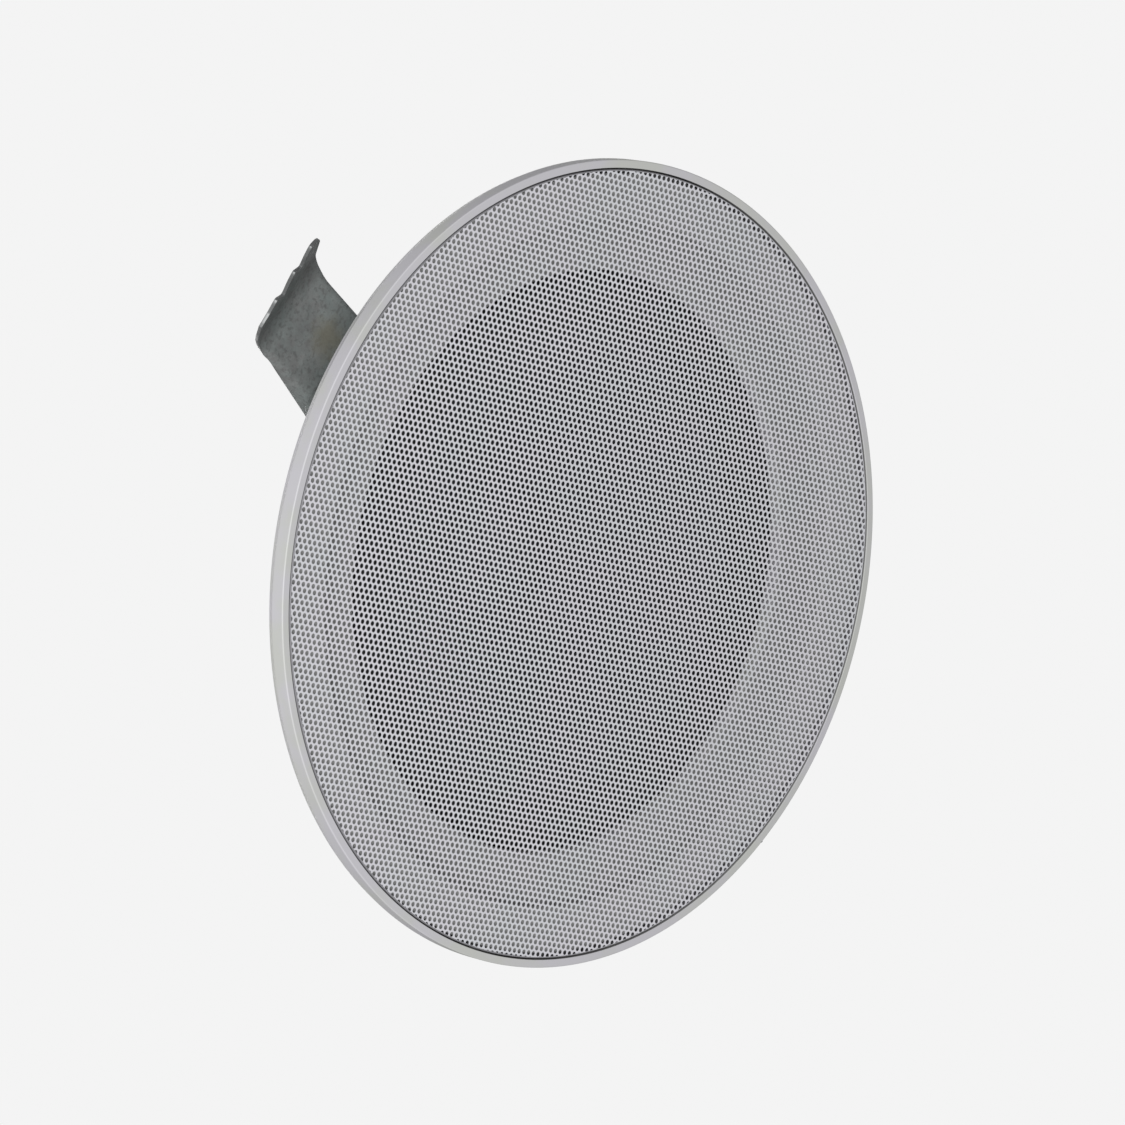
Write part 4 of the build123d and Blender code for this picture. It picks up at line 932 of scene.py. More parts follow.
def wound_finish(name, colour, roughness, pitch, metallic=0.0, depth=0.05 * MM):
    """Make the finish of a winding or of wrapped tape."""
    tree, shader = new_finish(name, metallic=metallic)
    turns = effect(tree, "Winding", pitch=pitch)
    tone = effect(tree, "Mottle", light=shade_of(colour, 1.15), dark=shade_of(colour, 0.8), scale=120.0)
    grain = effect(tree, "Grain", scale=1500.0, roughness=roughness, roughness_spread=0.15)
    cover(tree, shader, tone["Color"], grain["Roughness"], (turns["Height"], depth))


def finish(slot):
    """Return the finish that the finishes operator made for a slot of the record."""
    return bpy.data.materials[slot + FINISH_ENDING]


PLAIN_FINISHES = (
    # Name, colour where the record has none, roughness, further settings
    ("cut_edge", (0.16, 0.165, 0.165), 0.42, {"grain": 1800.0, "depth": 0.01 * MM, "metallic": 0.35, "contrast": 0.3}),
    ("gasket_foam", None, 0.9, {"grain": 1600.0, "depth": 0.2 * MM}),
    ("basket_steel", None, 0.42, {"grain": 1500.0}),
    ("former_foil", None, 0.3, {"metallic": 1.0}),
    ("zinc_screws", None, 0.28, {"grain": 1200.0, "depth": 0.01 * MM, "metallic": 1.0}),
    ("spring_steel", None, 0.34, {"grain": 1800.0, "depth": 0.01 * MM, "metallic": 1.0}),
    ("lamination_steel", None, 0.5, {"metallic": 0.7, "contrast": 0.3}),
    ("block_plastic", None, 0.38, {"grain": 1200.0}),
    ("tag_board", None, 0.45, {"grain": 900.0, "contrast": 0.25}),
    ("tinned_brass", None, 0.35, {"metallic": 0.9, "contrast": 0.25}),
    ("lead_sleeve", None, 0.4, {"grain": 900.0, "depth": 0.01 * MM}),
    ("lead_sleeve_black", (0.02, 0.02, 0.022), 0.4, {"grain": 900.0, "depth": 0.01 * MM}),
    ("bobbin_nylon", (0.55, 0.53, 0.46), 0.4, {"grain": 900.0}),
)

PATTERNED_FINISHES = (
    # Function, name, then cloth: roughness, thread; wound: roughness, pitch, metallic, depth;
    # ringed: roughness, metallic, pitch, depth
    (cloth_finish, "surround_cloth", 0.6, 0.5 * MM),
    (cloth_finish, "spider_cloth", 0.7, 0.6 * MM),
    (wound_finish, "copper_winding", 0.3, 0.3 * MM, 0.9),
    (wound_finish, "winding_tape", 0.35, 4.0 * MM, 0.0, 0.06 * MM),
    (ringed_finish, "plated_steel", 0.42, 0.95),
    (ringed_finish, "ferrite", 0.55, 0.15, 0.6 * MM, 0.02 * MM),
)


class SPEAKER_OT_finishes(bpy.types.Operator):
    """Build the material of every slot"""

    bl_idname = "speaker.finishes"
    bl_label = "Build Finishes"

    def execute(self, context):
        chosen = context.scene.speaker_finishes
        # The grille's coat carries painted shade on its rolled edge and skirt, where they sit in the baffle's groove
        coated_finish(
            "grille_steel", tuple(chosen.grille), (1.0, 1.0, 1.0), (0.972, 1.0, 0.985), 0.5, grain=3200.0,
            painted_shade_rings=((0.0973, 0.11, GRILLE_FRONT - 0.5 * MM, 10.0 * MM, 0.33),),
        )
        # The baffle's coat carries painted shade in the groove and on the inner surfaces seen through the grille
        coated_finish(
            "baffle_plastic", tuple(chosen.baffle), (1.02, 1.0, 1.07), (0.99, 1.0, 0.965), 0.6, grain=2600.0,
            painted_shade_rings=(
                (0.0965, 0.0981, GRILLE_FRONT + 0.1 * MM, 4.0 * MM, 0.5),
                (0.0843, 0.0965, GRILLE_FRONT + 0.6 * MM, 1.3 * MM, 0.6),
                (0.0, 0.0851, GRILLE_FRONT + 0.6 * MM, 5.6 * MM, 0.6),
            ),
        )
        galvanised_finish(
            "galvanised_steel",
            tuple(chosen.galvanised),
            stain_places=(((0.083, 0.002, 0.0258), 0.007), ((-0.086, -0.001, 0.0258), 0.006)),
        )
        for name, colour, roughness, settings in PLAIN_FINISHES:
            plain_finish(name, colour or record_colour[name], roughness, **settings)
        plain_finish(
            "cone_paper", tuple(chosen.cone), 0.85, grain=1400.0, depth=0.12 * MM, contrast=0.3, mottle=400.0,
            specular=0.25,
        )
        for build, name, *settings in PATTERNED_FINISHES:
            build(name, record_colour[name], *settings)
        return {"FINISHED"}


class SPEAKER_OT_front_baffle(bpy.types.Operator):
    """Build the moulded baffle with its rim, groove, step and trough ribs"""

    bl_idname = "speaker.front_baffle"
    bl_label = "Build Front Baffle"

    def execute(self, context):
        chosen = context.scene.speaker_baffle
        rim = RIM_RADIUS / MM
        front = RIM_FRONT / MM
        rounding = chosen.rim_rounding / MM
        wall = chosen.wall / MM
        groove_out = rim - chosen.rim_width / MM
        groove_in = groove_out - chosen.groove_width / MM
        profile = rounded_profile([
            (rim - 0.6, 0.0),
            (rim - 0.35, -0.9, 0.3),
            (rim - 0.02, -1.6, 0.4),
            (rim, front, rounding),
            (groove_out, front, 0.12),
            (groove_out, GROOVE_FLOOR, 0.3),
            (groove_in, GROOVE_FLOOR, 0.3),
            (groove_in, ANNULUS_FRONT, 0.3),
            (STEP_RADIUS, ANNULUS_FRONT, 1.0),
            (STEP_RADIUS, RECESS_FRONT, 0.6),
            (OPENING_RADIUS, RECESS_FRONT, 1.0),
            (OPENING_RADIUS, RECESS_BACK, 0.2),
            (STEP_RADIUS + wall, RECESS_BACK, 1.0),
            (STEP_RADIUS + wall, ANNULUS_FRONT + wall, 0.5),
            (TROUGH_RADIUS, ANNULUS_FRONT + wall, 0.5),
            (TROUGH_RADIUS, 0.0, 0.2),
            (rim - 0.6, 0.0),
        ])
        shell = revolved_piece("baffle_moulding", profile, finish("baffle_plastic"))
        place_piece(shell, ROOT, "front_baffle")
        # One rib in the trough behind the rim, with a crowned back edge
        half = 0.8
        section = [(-half, -2.1), (half, -2.1), (half * 0.85, -0.7), (0, -0.4), (-half * 0.85, -0.7)]
        overlap = 0.1
        ends = (STEP_RADIUS + wall - overlap, TROUGH_RADIUS + overlap)
        corners = [(x * MM, y * MM, z * MM) for x in ends for y, z in section]
        ribs = new_piece("baffle_ribs", corners, faces=prism_faces(len(section)))
        run_tree(
            ribs, "Repeated piece", finish("baffle_plastic"), count=chosen.rib_count, step_angle=tau / chosen.rib_count
        )
        tidy_faces(ribs)
        place_piece(ribs, ROOT, "front_baffle")
        return {"FINISHED"}


class SPEAKER_OT_grille(bpy.types.Operator):
    """Build the perforated grille in sectors, with its rolled edge"""

    bl_idname = "speaker.grille"
    bl_label = "Build Grille"

    def execute(self, context):
        chosen = context.scene.speaker_grille
        sectors = 6
        coat = finish("grille_steel")
        for sector in range(sectors):
            sheet = new_piece(f"grille_sheet_{sector + 1}", [(0, 0, 0)])
            run_tree(
                sheet,
                "Perforated sheet",
                coat,
                pitch=chosen.pitch,
                hole_diameter=chosen.hole,
                hole_sides=chosen.hole_sides,
                sheet=chosen.sheet,
                row_angle=chosen.row_angle,
                phase_x=chosen.phase[0],
                phase_y=chosen.phase[1],
                field_radius=chosen.field_radius,
                sheet_radius=chosen.radius - chosen.roll,
                edge_height=GRILLE_FRONT,
                dish=chosen.centre_rise,
                sector_start=tau * sector / sectors,
                sector_sweep=tau / sectors,
            )
            tidy_faces(sheet, sharp=radians(50))
            place_piece(sheet, ROOT, "perforated_grille")
        outer = chosen.radius / MM
        roll = chosen.roll / MM
        front = GRILLE_FRONT / MM
        thick = chosen.sheet / MM
        profile = rounded_profile([
            (outer - roll - 0.08, front - 0.01),
            (outer, front - 0.01, roll),
            (outer, -2.0),
            (outer - thick, -2.0),
            (outer - thick, front + thick, 0.1),
            (outer - roll - 0.08, front + thick + 0.02),
            (outer - roll - 0.08, front - 0.01),
        ])
        edge = revolved_piece("grille_rolled_edge", profile, coat)
        place_piece(edge, ROOT, "perforated_grille")
        return {"FINISHED"}


def arc_profile(start, middle, end, steps):
    """Return points of the arc through three (radius, height) places."""
    (x1, y1), (x2, y2), (x3, y3) = start, middle, end
    turn = 2 * (x1 * (y2 - y3) + x2 * (y3 - y1) + x3 * (y1 - y2))
    s1, s2, s3 = x1 * x1 + y1 * y1, x2 * x2 + y2 * y2, x3 * x3 + y3 * y3
    cx = (s1 * (y2 - y3) + s2 * (y3 - y1) + s3 * (y1 - y2)) / turn
    cy = (s1 * (x3 - x2) + s2 * (x1 - x3) + s3 * (x2 - x1)) / turn
    radius = sqrt((x1 - cx) ** 2 + (y1 - cy) ** 2)
    first = atan2(y1 - cy, x1 - cx)
    sweep = atan2(y3 - cy, x3 - cx) - first
    half = atan2(y2 - cy, x2 - cx) - first
    if (half % tau) > (sweep % tau):
        sweep = -((-sweep) % tau)
    else:
        sweep %= tau
    return [
        (cx + radius * cos(first + sweep * i / steps), cy + radius * sin(first + sweep * i / steps))
        for i in range(steps + 1)
    ]


def sheet_profile(front, thickness):
    """Return the closed profile of a thin sheet from its front line, in millimetres."""
    back = [(radius, height + thickness) for radius, height in reversed(front)]
    return [Vector((radius * MM, 0, height * MM)) for radius, height in front + back + front[:1]]


class SPEAKER_OT_cone(bpy.types.Operator):
    """Build the cone, dust cap, voice coil, surround and spider"""

    bl_idname = "speaker.cone"
    bl_label = "Build Cone and Suspension"

    def execute(self, context):
        paper = finish("cone_paper")
        rim, bow, neck = (57.5, 5.3), (35.0, 15.6), (13.0, 29.0)
        side = arc_profile(rim, bow, neck, 48)
        # Two shallow pressed rings stiffen the paper
        ring_depth, ring_width = 0.35, 1.2
        ringed = [
            (radius, height - sum(ring_depth * max(0.0, 1 - abs(radius - ring) / ring_width) for ring in (47, 38)))
            for radius, height in side
        ]
        cone = revolved_piece("paper_cone", sheet_profile([(60.2, rim[1])] + ringed, PAPER), paper, steps=120)
        place_piece(cone, MOVING_CONE, "cone")
        seat_radius, cap_height = 17.0, 5.5
        seat_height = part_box("dust_cap")[1].z / MM
        crown = (0.0, seat_height - cap_height)
        cap = arc_profile((seat_radius, seat_height), (seat_radius / 2, seat_height - cap_height * 0.76), crown, 20)
        dome = revolved_piece("dust_cap_dome", sheet_profile(cap[:-1] + [(0.0, cap[-1][1])], PAPER), paper, steps=96)
        place_piece(dome, MOVING_CONE, "dust_cap")
        for node in ("voice_coil_former", "voice_coil_winding"):
            piece = copied_node(node + "_piece", node, finish(slot_of_node[node]), edge=0.05 * MM)
            place_piece(piece, MOVING_CONE, node)
        flat = 4.7
        roll = arc_profile((70.9, flat), (65.7, 1.0), (60.5, flat), 28)
        roll = [(73.9, flat), (72.2, flat)] + roll + [(59.4, flat), (57.5, flat)]
        self.soft_ring(context, "surround", sheet_profile(roll, PAPER), 74.0, 57.6)
        flat = 34.3
        waves = [(13.0, flat), (15.0, flat)]
        first, last, wave_count, wave_height = 15.0, 33.8, 4, 1.1
        for step in range(1, 65):
            share = step / 64
            height = flat - wave_height * sin(tau * wave_count * share) * min(1.0, 8 * share, 8 * (1 - share))
            waves.append((first + (last - first) * share, height))
        waves += [(36.0, flat), (40.2, flat)]
        self.soft_ring(context, "spider", sheet_profile(waves[::-1], PAPER), 34.5, 14.0)
        return {"FINISHED"}

    def soft_ring(self, context, node, profile, fixed_radius, moving_radius):
        """Build a soft ring between the frame and the cone, in sectors."""
        count = context.scene.speaker_driver.sector_count
        sweep = tau / count
        for sector in range(count):
            start = sector * sweep
            name = f"{node}_sector_{sector + 1}"
            piece = revolved_piece(name, profile, finish(slot_of_node[node]), steps=10, start=start, sweep=sweep)
            bend_piece(piece, node)


COPIED_NODES = (
    # CAD node, rounding of its edges in millimetres
    ("driver_basket", 0.3),
    ("driver_gasket", 0.15),
    ("top_plate", 0.3),
    ("magnet", 0.35),
    ("back_plate", 0.35),
    ("plate_rivets", 0.2),
    ("component_plate", 0.2),
    ("transformer_frame", 0.15),
    ("frame_rivets", 0.2),
    ("terminal_block", 0.3),
    ("terminal_screws", 0.12),
    ("block_screw", 0.12),
    ("tag_strip", 0.15),
    ("solder_tags", 0.12),
    ("tag_rivet", 0.15),
    ("clamp_bracket_right", 0.25),
    ("clamp_bracket_left", 0.25),
    ("hinge_pin_right", 0.2),
    ("hinge_pin_left", 0.2),
    ("pin_clip_right", 0.12),
    ("pin_clip_left", 0.12),
)


class SPEAKER_OT_body_pieces(bpy.types.Operator):
    """Build the fixed metal and plastic pieces behind the baffle"""

    bl_idname = "speaker.body_pieces"
    bl_label = "Build Body Pieces"

    def execute(self, context):
        for node, rounding in COPIED_NODES:
            piece = copied_node(node + "_piece", node, finish(slot_of_node[node]), edge=rounding * MM)
            place_piece(piece, ROOT, node)
        return {"FINISHED"}


class SPEAKER_OT_line_transformer(bpy.types.Operator):
    """Build the transformer's stacked core and its bobbin"""

    bl_idname = "speaker.line_transformer"
    bl_label = "Build Line Transformer"

    def execute(self, context):
        low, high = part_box("transformer_core")
        sheets = 24
        pitch = (high.y - low.y) / sheets
        limb, yoke = 10.0 * MM, 5.0 * MM
        centre = (low.x + high.x) / 2
        columns = [low.x, low.x + yoke, centre - limb / 2, centre + limb / 2, high.x - yoke, high.x]
        rows = [low.z, low.z + yoke, high.z - yoke, high.z]
        corners, faces = [], []
        for depth in (0.0, pitch * 0.86):
            corners += [(x, low.y + depth, z) for z in rows for x in columns]
        cell = [(c, r) for r in range(3) for c in range(5) if not (r == 1 and c in (1, 3))]
        wide = len(columns)
        size = wide * len(rows)
        for c, r in cell:
            loop = [r * wide + c, r * wide + c + 1, (r + 1) * wide + c + 1, (r + 1) * wide + c]
            faces += [tuple(loop), tuple(i + size for i in reversed(loop))]
            sides = (((c, r - 1), loop[0], loop[1]), ((c + 1, r), loop[1], loop[2]),
                     ((c, r + 1), loop[2], loop[3]), ((c - 1, r), loop[3], loop[0]))
            faces += [(b, a, a + size, b + size) for other, a, b in sides if other not in cell]
        core = new_piece("core_laminations", corners, faces=faces)
        run_tree(core, "Repeated piece", finish("lamination_steel"), count=sheets, step=(0.0, pitch, 0.0))
        tidy_faces(core)
        place_piece(core, ROOT, "transformer_core")
        bobbin = copied_node("bobbin_and_tape", "transformer_bobbin", finish("winding_tape"), edge=0.25 * MM)
        bobbin.data.materials.append(finish("bobbin_nylon"))
        low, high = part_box("transformer_bobbin")
        for face in bobbin.data.polygons:
            if min(face.center.z - low.z, high.z - face.center.z) < 1.05 * MM:
                face.material_index = 1
        place_piece(bobbin, ROOT, "transformer_bobbin")
        return {"FINISHED"}


def screw_template(name, head_radius, head_height, shank_radius, shank_length):
    """Make a pan-head screw with a cross recess, its seat at the origin, as a template for copies."""
    rings = [0.0, 0.12, 0.22, 0.32, 0.42, 0.52, 0.64, 0.76, 0.88, 0.96, 1.0]
    flat_top, slot_width, slot_reach = 0.55, 0.13, 0.56
    steps = 48
    corners = []
    for ring in rings:
        for step in range(steps):
            angle = tau * step / steps
            x, y = ring * cos(angle), ring * sin(angle)
            crown = head_height * (1 - (max(0.0, ring - flat_top) / (1 - flat_top)) ** 2 * 0.55)
            arm = min(abs(x), abs(y))
            reach = max(abs(x), abs(y))
            depth = max(0.0, 1 - arm / slot_width) * max(0.0, 1 - reach / slot_reach)
            dip = head_height * 0.75 * min(1.0, 1.9 * depth)
            corners.append((x * head_radius, y * head_radius, crown - dip))
    for radius, height in ((head_radius, 0.0), (shank_radius, 0.0), (shank_radius, -shank_length)):
        for step in range(steps):
            angle = tau * step / steps
            corners.append((radius * cos(angle), radius * sin(angle), height))
    faces = []
    for row in range(len(corners) // steps - 1):
        for step in range(steps):
            following = (step + 1) % steps
            faces.append((
                row * steps + step, row * steps + following, (row + 1) * steps + following, (row + 1) * steps + step
            ))
    faces.append(tuple(range(len(corners) - steps, len(corners))))
    return new_piece(name, corners, faces=faces)


class SPEAKER_OT_screws(bpy.types.Operator):
    """Build the screws that go into the baffle"""

    bl_idname = "speaker.screws"
    bl_label = "Build Fixing Screws"

    def execute(self, context):
        head = context.scene.speaker_driver.screw_head / 2
        groups = (
            ("driver_screws", (45, 135, 225, 315)),
            ("bracket_screws", [turn + side * SIDE_SCREW_TURN for turn in (0, 180) for side in (-1, 1)]),
            ("component_plate_screws", [90 + side * SIDE_SCREW_TURN for side in (-1, 1)]),
        )
        for seed, (node, angles) in enumerate(groups):
            low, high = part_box(node)
            height = 2.2 * MM
            seat = high.z - height
            template = screw_template("screw_template", head, height, 1.6 * MM, seat - low.z)
            screws = new_piece(node + "_heads", [around(FIXING_CIRCLE, angle, seat / MM) for angle in angles])
            run_tree(
                screws, "Template on points", finish("zinc_screws"), template=template, most_turn=pi / 2, seed=seed
            )
            bpy.data.objects.remove(template)
            tidy_faces(screws)
            place_piece(screws, ROOT, node)
        return {"FINISHED"}


# Places on the arm along it and across it from the hinge, in millimetres. FOLD_FADE and EDGE_FADE are where the side
# folds flatten out and where the sides take the lip's width; LIP_EDGE is the toothed edge, as places across the lip and
# reaches beyond the bend
EYE_RADIUS = 4.7
PLATE_DROP = 4.8
PLATE_START = 9.0
BEND_START = 34.1
ARM_HALF_WIDTH = 12.8
FLANGE_HEIGHT = 9.47
FLANGE_TAPER = 0.256
LIP_ROOT = 8.5
WEB_LEG_ANGLE = radians(33.5)
LIP_HALF_WIDTHS = (13.1, 13.7)
FOLD_FADE = (30.0, 40.0)
EDGE_FADE = (31.0, 35.0)
LIP_EDGE = (
    (-14.3, 8.6), (-13.9, 9.5), (-12.7, 10.4), (-10.3, 11.6), (-8.3, 14.0), (-7.6, 14.4), (-6.9, 13.9), (-3.6, 8.4),
    (-3.1, 8.1), (-2.7, 8.6), (-1.6, 13.0), (-0.4, 15.2), (0.3, 15.7), (0.9, 15.2), (3.9, 10.5), (4.4, 10.1),
    (4.8, 10.6), (5.6, 13.9), (6.9, 16.3), (7.6, 16.8), (8.3, 16.5), (10.6, 14.3), (12.3, 11.3), (13.1, 8.3),
)


def lip_reach(across):
    """Return how far the toothed lip reaches beyond its bend at a place across it, in millimetres."""
    for (x1, y1), (x2, y2) in zip(LIP_EDGE, LIP_EDGE[1:]):
        if across <= x2:
            return y1 + (y2 - y1) * max(0.0, across - x1) / (x2 - x1)
    return LIP_EDGE[-1][1]


def fade(value, start, end):
    """Return 0 before the start, 1 after the end and a smooth step between them."""
    share = min(1.0, max(0.0, (value - start) / (end - start)))
    return share * share * (3 - 2 * share)


class ArmSheet:
    """The shape of a clamp arm's bent sheet, as places along and across it from the hinge, in millimetres."""

    def __init__(self, chosen):
        self.sheet = chosen.sheet / MM
        self.fold = chosen.fold / MM
        self.bend = chosen.bend / MM
        self.lip_angle = chosen.lip_angle
        self.flat = ARM_HALF_WIDTH - self.fold
        self.bend_end = BEND_START + self.bend * self.lip_angle

    def curl(self, along):
        """Return how sharply the sheet's sides are folded up there."""
        return max(1e-3, (1 - fade(along, *FOLD_FADE)) / self.fold)

    def side_width(self, along, side):
        """Return how much sheet there is beyond the flat part on a side."""
        if along < EYE_RADIUS / 2:
            height = PLATE_DROP + sqrt(max(0.0, EYE_RADIUS**2 - along**2))
        else:
            height = max(0.05, FLANGE_HEIGHT - FLANGE_TAPER * along)
        curl = self.curl(along)
        if height * curl < 1:
            width = self.turn_for(height * curl) / curl
        else:
            width = pi / 2 / curl + height - 1 / curl
        wide = ARM_HALF_WIDTH + (LIP_HALF_WIDTHS[0] - ARM_HALF_WIDTH) * fade(along, *EDGE_FADE)
        if side < 0:
            wide += (LIP_HALF_WIDTHS[1] - LIP_HALF_WIDTHS[0]) * fade(along, self.bend_end - 3, self.bend_end + 4)
        level = asin(min(1.0, (wide - self.flat) * curl)) / curl
        return width + (level - width) * fade(along, *EDGE_FADE)

    @staticmethod
    def turn_for(rise):
        """Return the angle whose arc of unit radius rises so much."""
        return atan2(sqrt(max(0.0, 1 - (1 - rise) ** 2)), 1 - rise)

    def place(self, along, across, depth):
        """Return the place in the sheet, at a depth behind its front face."""
        turned = min(max(0.0, (along - BEND_START) / self.bend), self.lip_angle)
        x = min(along, BEND_START) + self.bend * sin(turned) + max(0.0, along - self.bend_end) * cos(turned)
        z = -PLATE_DROP - self.bend * (1 - cos(turned)) - max(0.0, along - self.bend_end) * sin(turned)
        curl = self.curl(along)
        beyond = max(0.0, abs(across) - self.flat)
        angle = min(pi / 2, beyond * curl)
        upright = max(0.0, beyond - pi / 2 / curl)
        side = min(abs(across), self.flat) + sin(angle) / curl - depth * sin(angle)
        lift = (1 - cos(angle)) / curl + upright + depth * cos(angle)
        y = side if across > 0 else -side
        return Vector((x + lift * sin(turned), y, z + lift * cos(turned)))

    def rows(self):
        """Return the places along the arm, and beyond the bend the shares of the lip's reach."""
        tail = [-4.7, -4.6, -4.3, -3.8, -3.0, -2.0, -1.0, 0.0, 1.0, 2.35, 3.6, 5.0, 6.5, 8.0, 9.5, PLATE_START]
        plate = [PLATE_START + (BEND_START - PLATE_START) * step / 16 for step in range(1, 17)]
        bent = [BEND_START + (self.bend_end - BEND_START) * step / 10 for step in range(1, 11)]
        return [(along, 0.0) for along in tail + plate + bent] + [(self.bend_end, step / 14) for step in range(1, 15)]

    def columns(self):
        """Return the places across the flat part, and the shares of the sides beyond it."""
        edge = [across for across, _ in LIP_EDGE if abs(across) < self.flat - 0.1]
        steps = 36
        even = [self.flat * (2 * step / steps - 1) for step in range(steps + 1)]
        kept = [across for across in even if min(abs(across - other) for other in edge) > 0.2]
        sides = [step / 12 for step in range(1, 13)]
        return [(-self.flat, -share) for share in reversed(sides)] + [(a, 0.0) for a in sorted(kept + edge)] + [
            (self.flat, share) for share in sides
        ]

    def mesh(self):
        """Return the points and faces of the closed sheet, and how many of the faces are cut edges."""
        rows, columns = self.rows(), self.columns()
        wide = len(columns)
        points = []
        for depth in (0.0, self.sheet):
            for along, share in rows:
                for flat, side in columns:
                    reach = along + share * LIP_ROOT
                    across = flat + side * self.side_width(reach, side)
                    points.append(self.place(along + share * lip_reach(across), across, depth))
        front = []
        for row in range(len(rows) - 1):
            for column in range(wide - 1):
                in_flat = not columns[column][1] and not columns[column + 1][1]
                if in_flat and rows[row + 1][0] <= PLATE_START:
                    continue
                first = row * wide + column
                front.append((first, first + 1, first + wide + 1, first + wide))
        behind = len(rows) * wide
        count = {}
        for face in front:
            for a, b in zip(face, face[1:] + face[:1]):
                count[a, b] = count.get((a, b), 0) + 1
        walls = [(b, a, a + behind, b + behind) for a, b in count if (b, a) not in count]
        back = [tuple(corner + behind for corner in reversed(face)) for face in front]
        return points, front + back + walls, len(walls)


class SPEAKER_OT_clamps(bpy.types.Operator):
    """Build the two clamp arms and their torsion springs"""

    bl_idname = "speaker.clamps"
    bl_label = "Build Clamps"

    def execute(self, context):
        chosen = context.scene.speaker_clamps
        for side, body in ARM_BODIES.items():
            self.arm(chosen, side, body)
            self.spring(chosen, side, body)
        return {"FINISHED"}

    def arm(self, chosen, side, body):
        """Build an arm from its bent sheet, with a hole for the hinge pin."""
        hinge = joint_place[f"clamp_{side}_fold"]
        turn = Matrix.Rotation(0.0 if side == "right" else pi, 3, "Z")
        points, faces, cut_count = ArmSheet(chosen).mesh()
        arm = new_piece(f"clamp_arm_{side}_sheet", [hinge + turn @ (point * MM) for point in points], faces=faces)
        arm.data.materials.append(finish("galvanised_steel"))
        arm.data.materials.append(finish("cut_edge"))
        for face in arm.data.polygons[-cut_count:]:
            face.material_index = 1
        tidy_faces(arm)
        count, radius, reach = 40, 2 * MM, 16 * MM
        turns = [tau * step / count for step in range(count)]
        corners = [hinge + Vector((radius * cos(a), y, radius * sin(a))) for y in (-reach, reach) for a in turns]
        pin = new_piece("pin_hole", corners, faces=prism_faces(count))
        tidy_faces(pin)
        hole = arm.modifiers.new("Pin hole", "BOOLEAN")
        hole.operation = "DIFFERENCE"
        hole.object = pin
        rounded = arm.modifiers.new("Rounded edges", "BEVEL")
        rounded.width = 0.1 * MM
        rounded.segments = 2
        rounded.limit_method = "ANGLE"
        rounded.angle_limit = radians(50)
        keep_result(arm)
        bpy.data.objects.remove(pin)
        arm.data.set_sharp_from_angle(angle=radians(40))
        place_piece(arm, body, "clamp_arm_" + side)

    def spring(self, chosen, side, body):
        """Build a torsion spring that winds up between the frame and the arm."""
        hinge = joint_place[f"clamp_{side}_fold"]
        turns = 5.75 - WEB_LEG_ANGLE / tau
        length = turns * chosen.turn_pitch
        slope = chosen.turn_pitch / tau
        steps = int(turns * 32)
        coil = []
        for step in range(steps + 1):
            angle = tau * turns * step / steps
            coil.append(Vector((chosen.coil * sin(angle), slope * angle - length / 2, -chosen.coil * cos(angle))))
        first = Vector((1.0, 0, 0))
        last_angle = tau * turns
        last = Vector((chosen.coil * cos(last_angle), slope, chosen.coil * sin(last_angle))).normalized()
        leg = [coil[0] + first * chosen.arm_leg * share for share in (1.0, 0.75, 0.5, 0.25)]
        web = [coil[-1] + last * chosen.web_leg * share for share in (0.25, 0.5, 0.75, 1.0)]
        turn = Matrix.Rotation(0.0 if side == "right" else pi, 3, "Z")
        points = [hinge + turn @ point for point in leg + coil + web]
        spring = wire_piece(f"clamp_spring_{side}_wire", points, finish("spring_steel"), chosen.wire / 2, sides=14)
        bend_piece(spring, "clamp_spring_" + side)


def tag_place(side, along, above):
    """Return a place over a solder tag: along the basket's wall and above the tag's face, in millimetres."""
    low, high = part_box("solder_tags")
    mouth_radius, mouth_height, shelf_radius, shelf_height = 72.3, 6.5, 41.0, 36.0
    wall = atan2(mouth_radius - shelf_radius, shelf_height - mouth_height)
    angle = radians(TAG_BEARING)
    across = Vector((-sin(angle), cos(angle), 0))
    out = Vector((cos(wall) * cos(angle), cos(wall) * sin(angle), sin(wall)))
    up = out.cross(across)
    middle = (low + high) / 2
    return middle + (across * side * 8.5 + up * along + out * (above + 0.3)) * MM


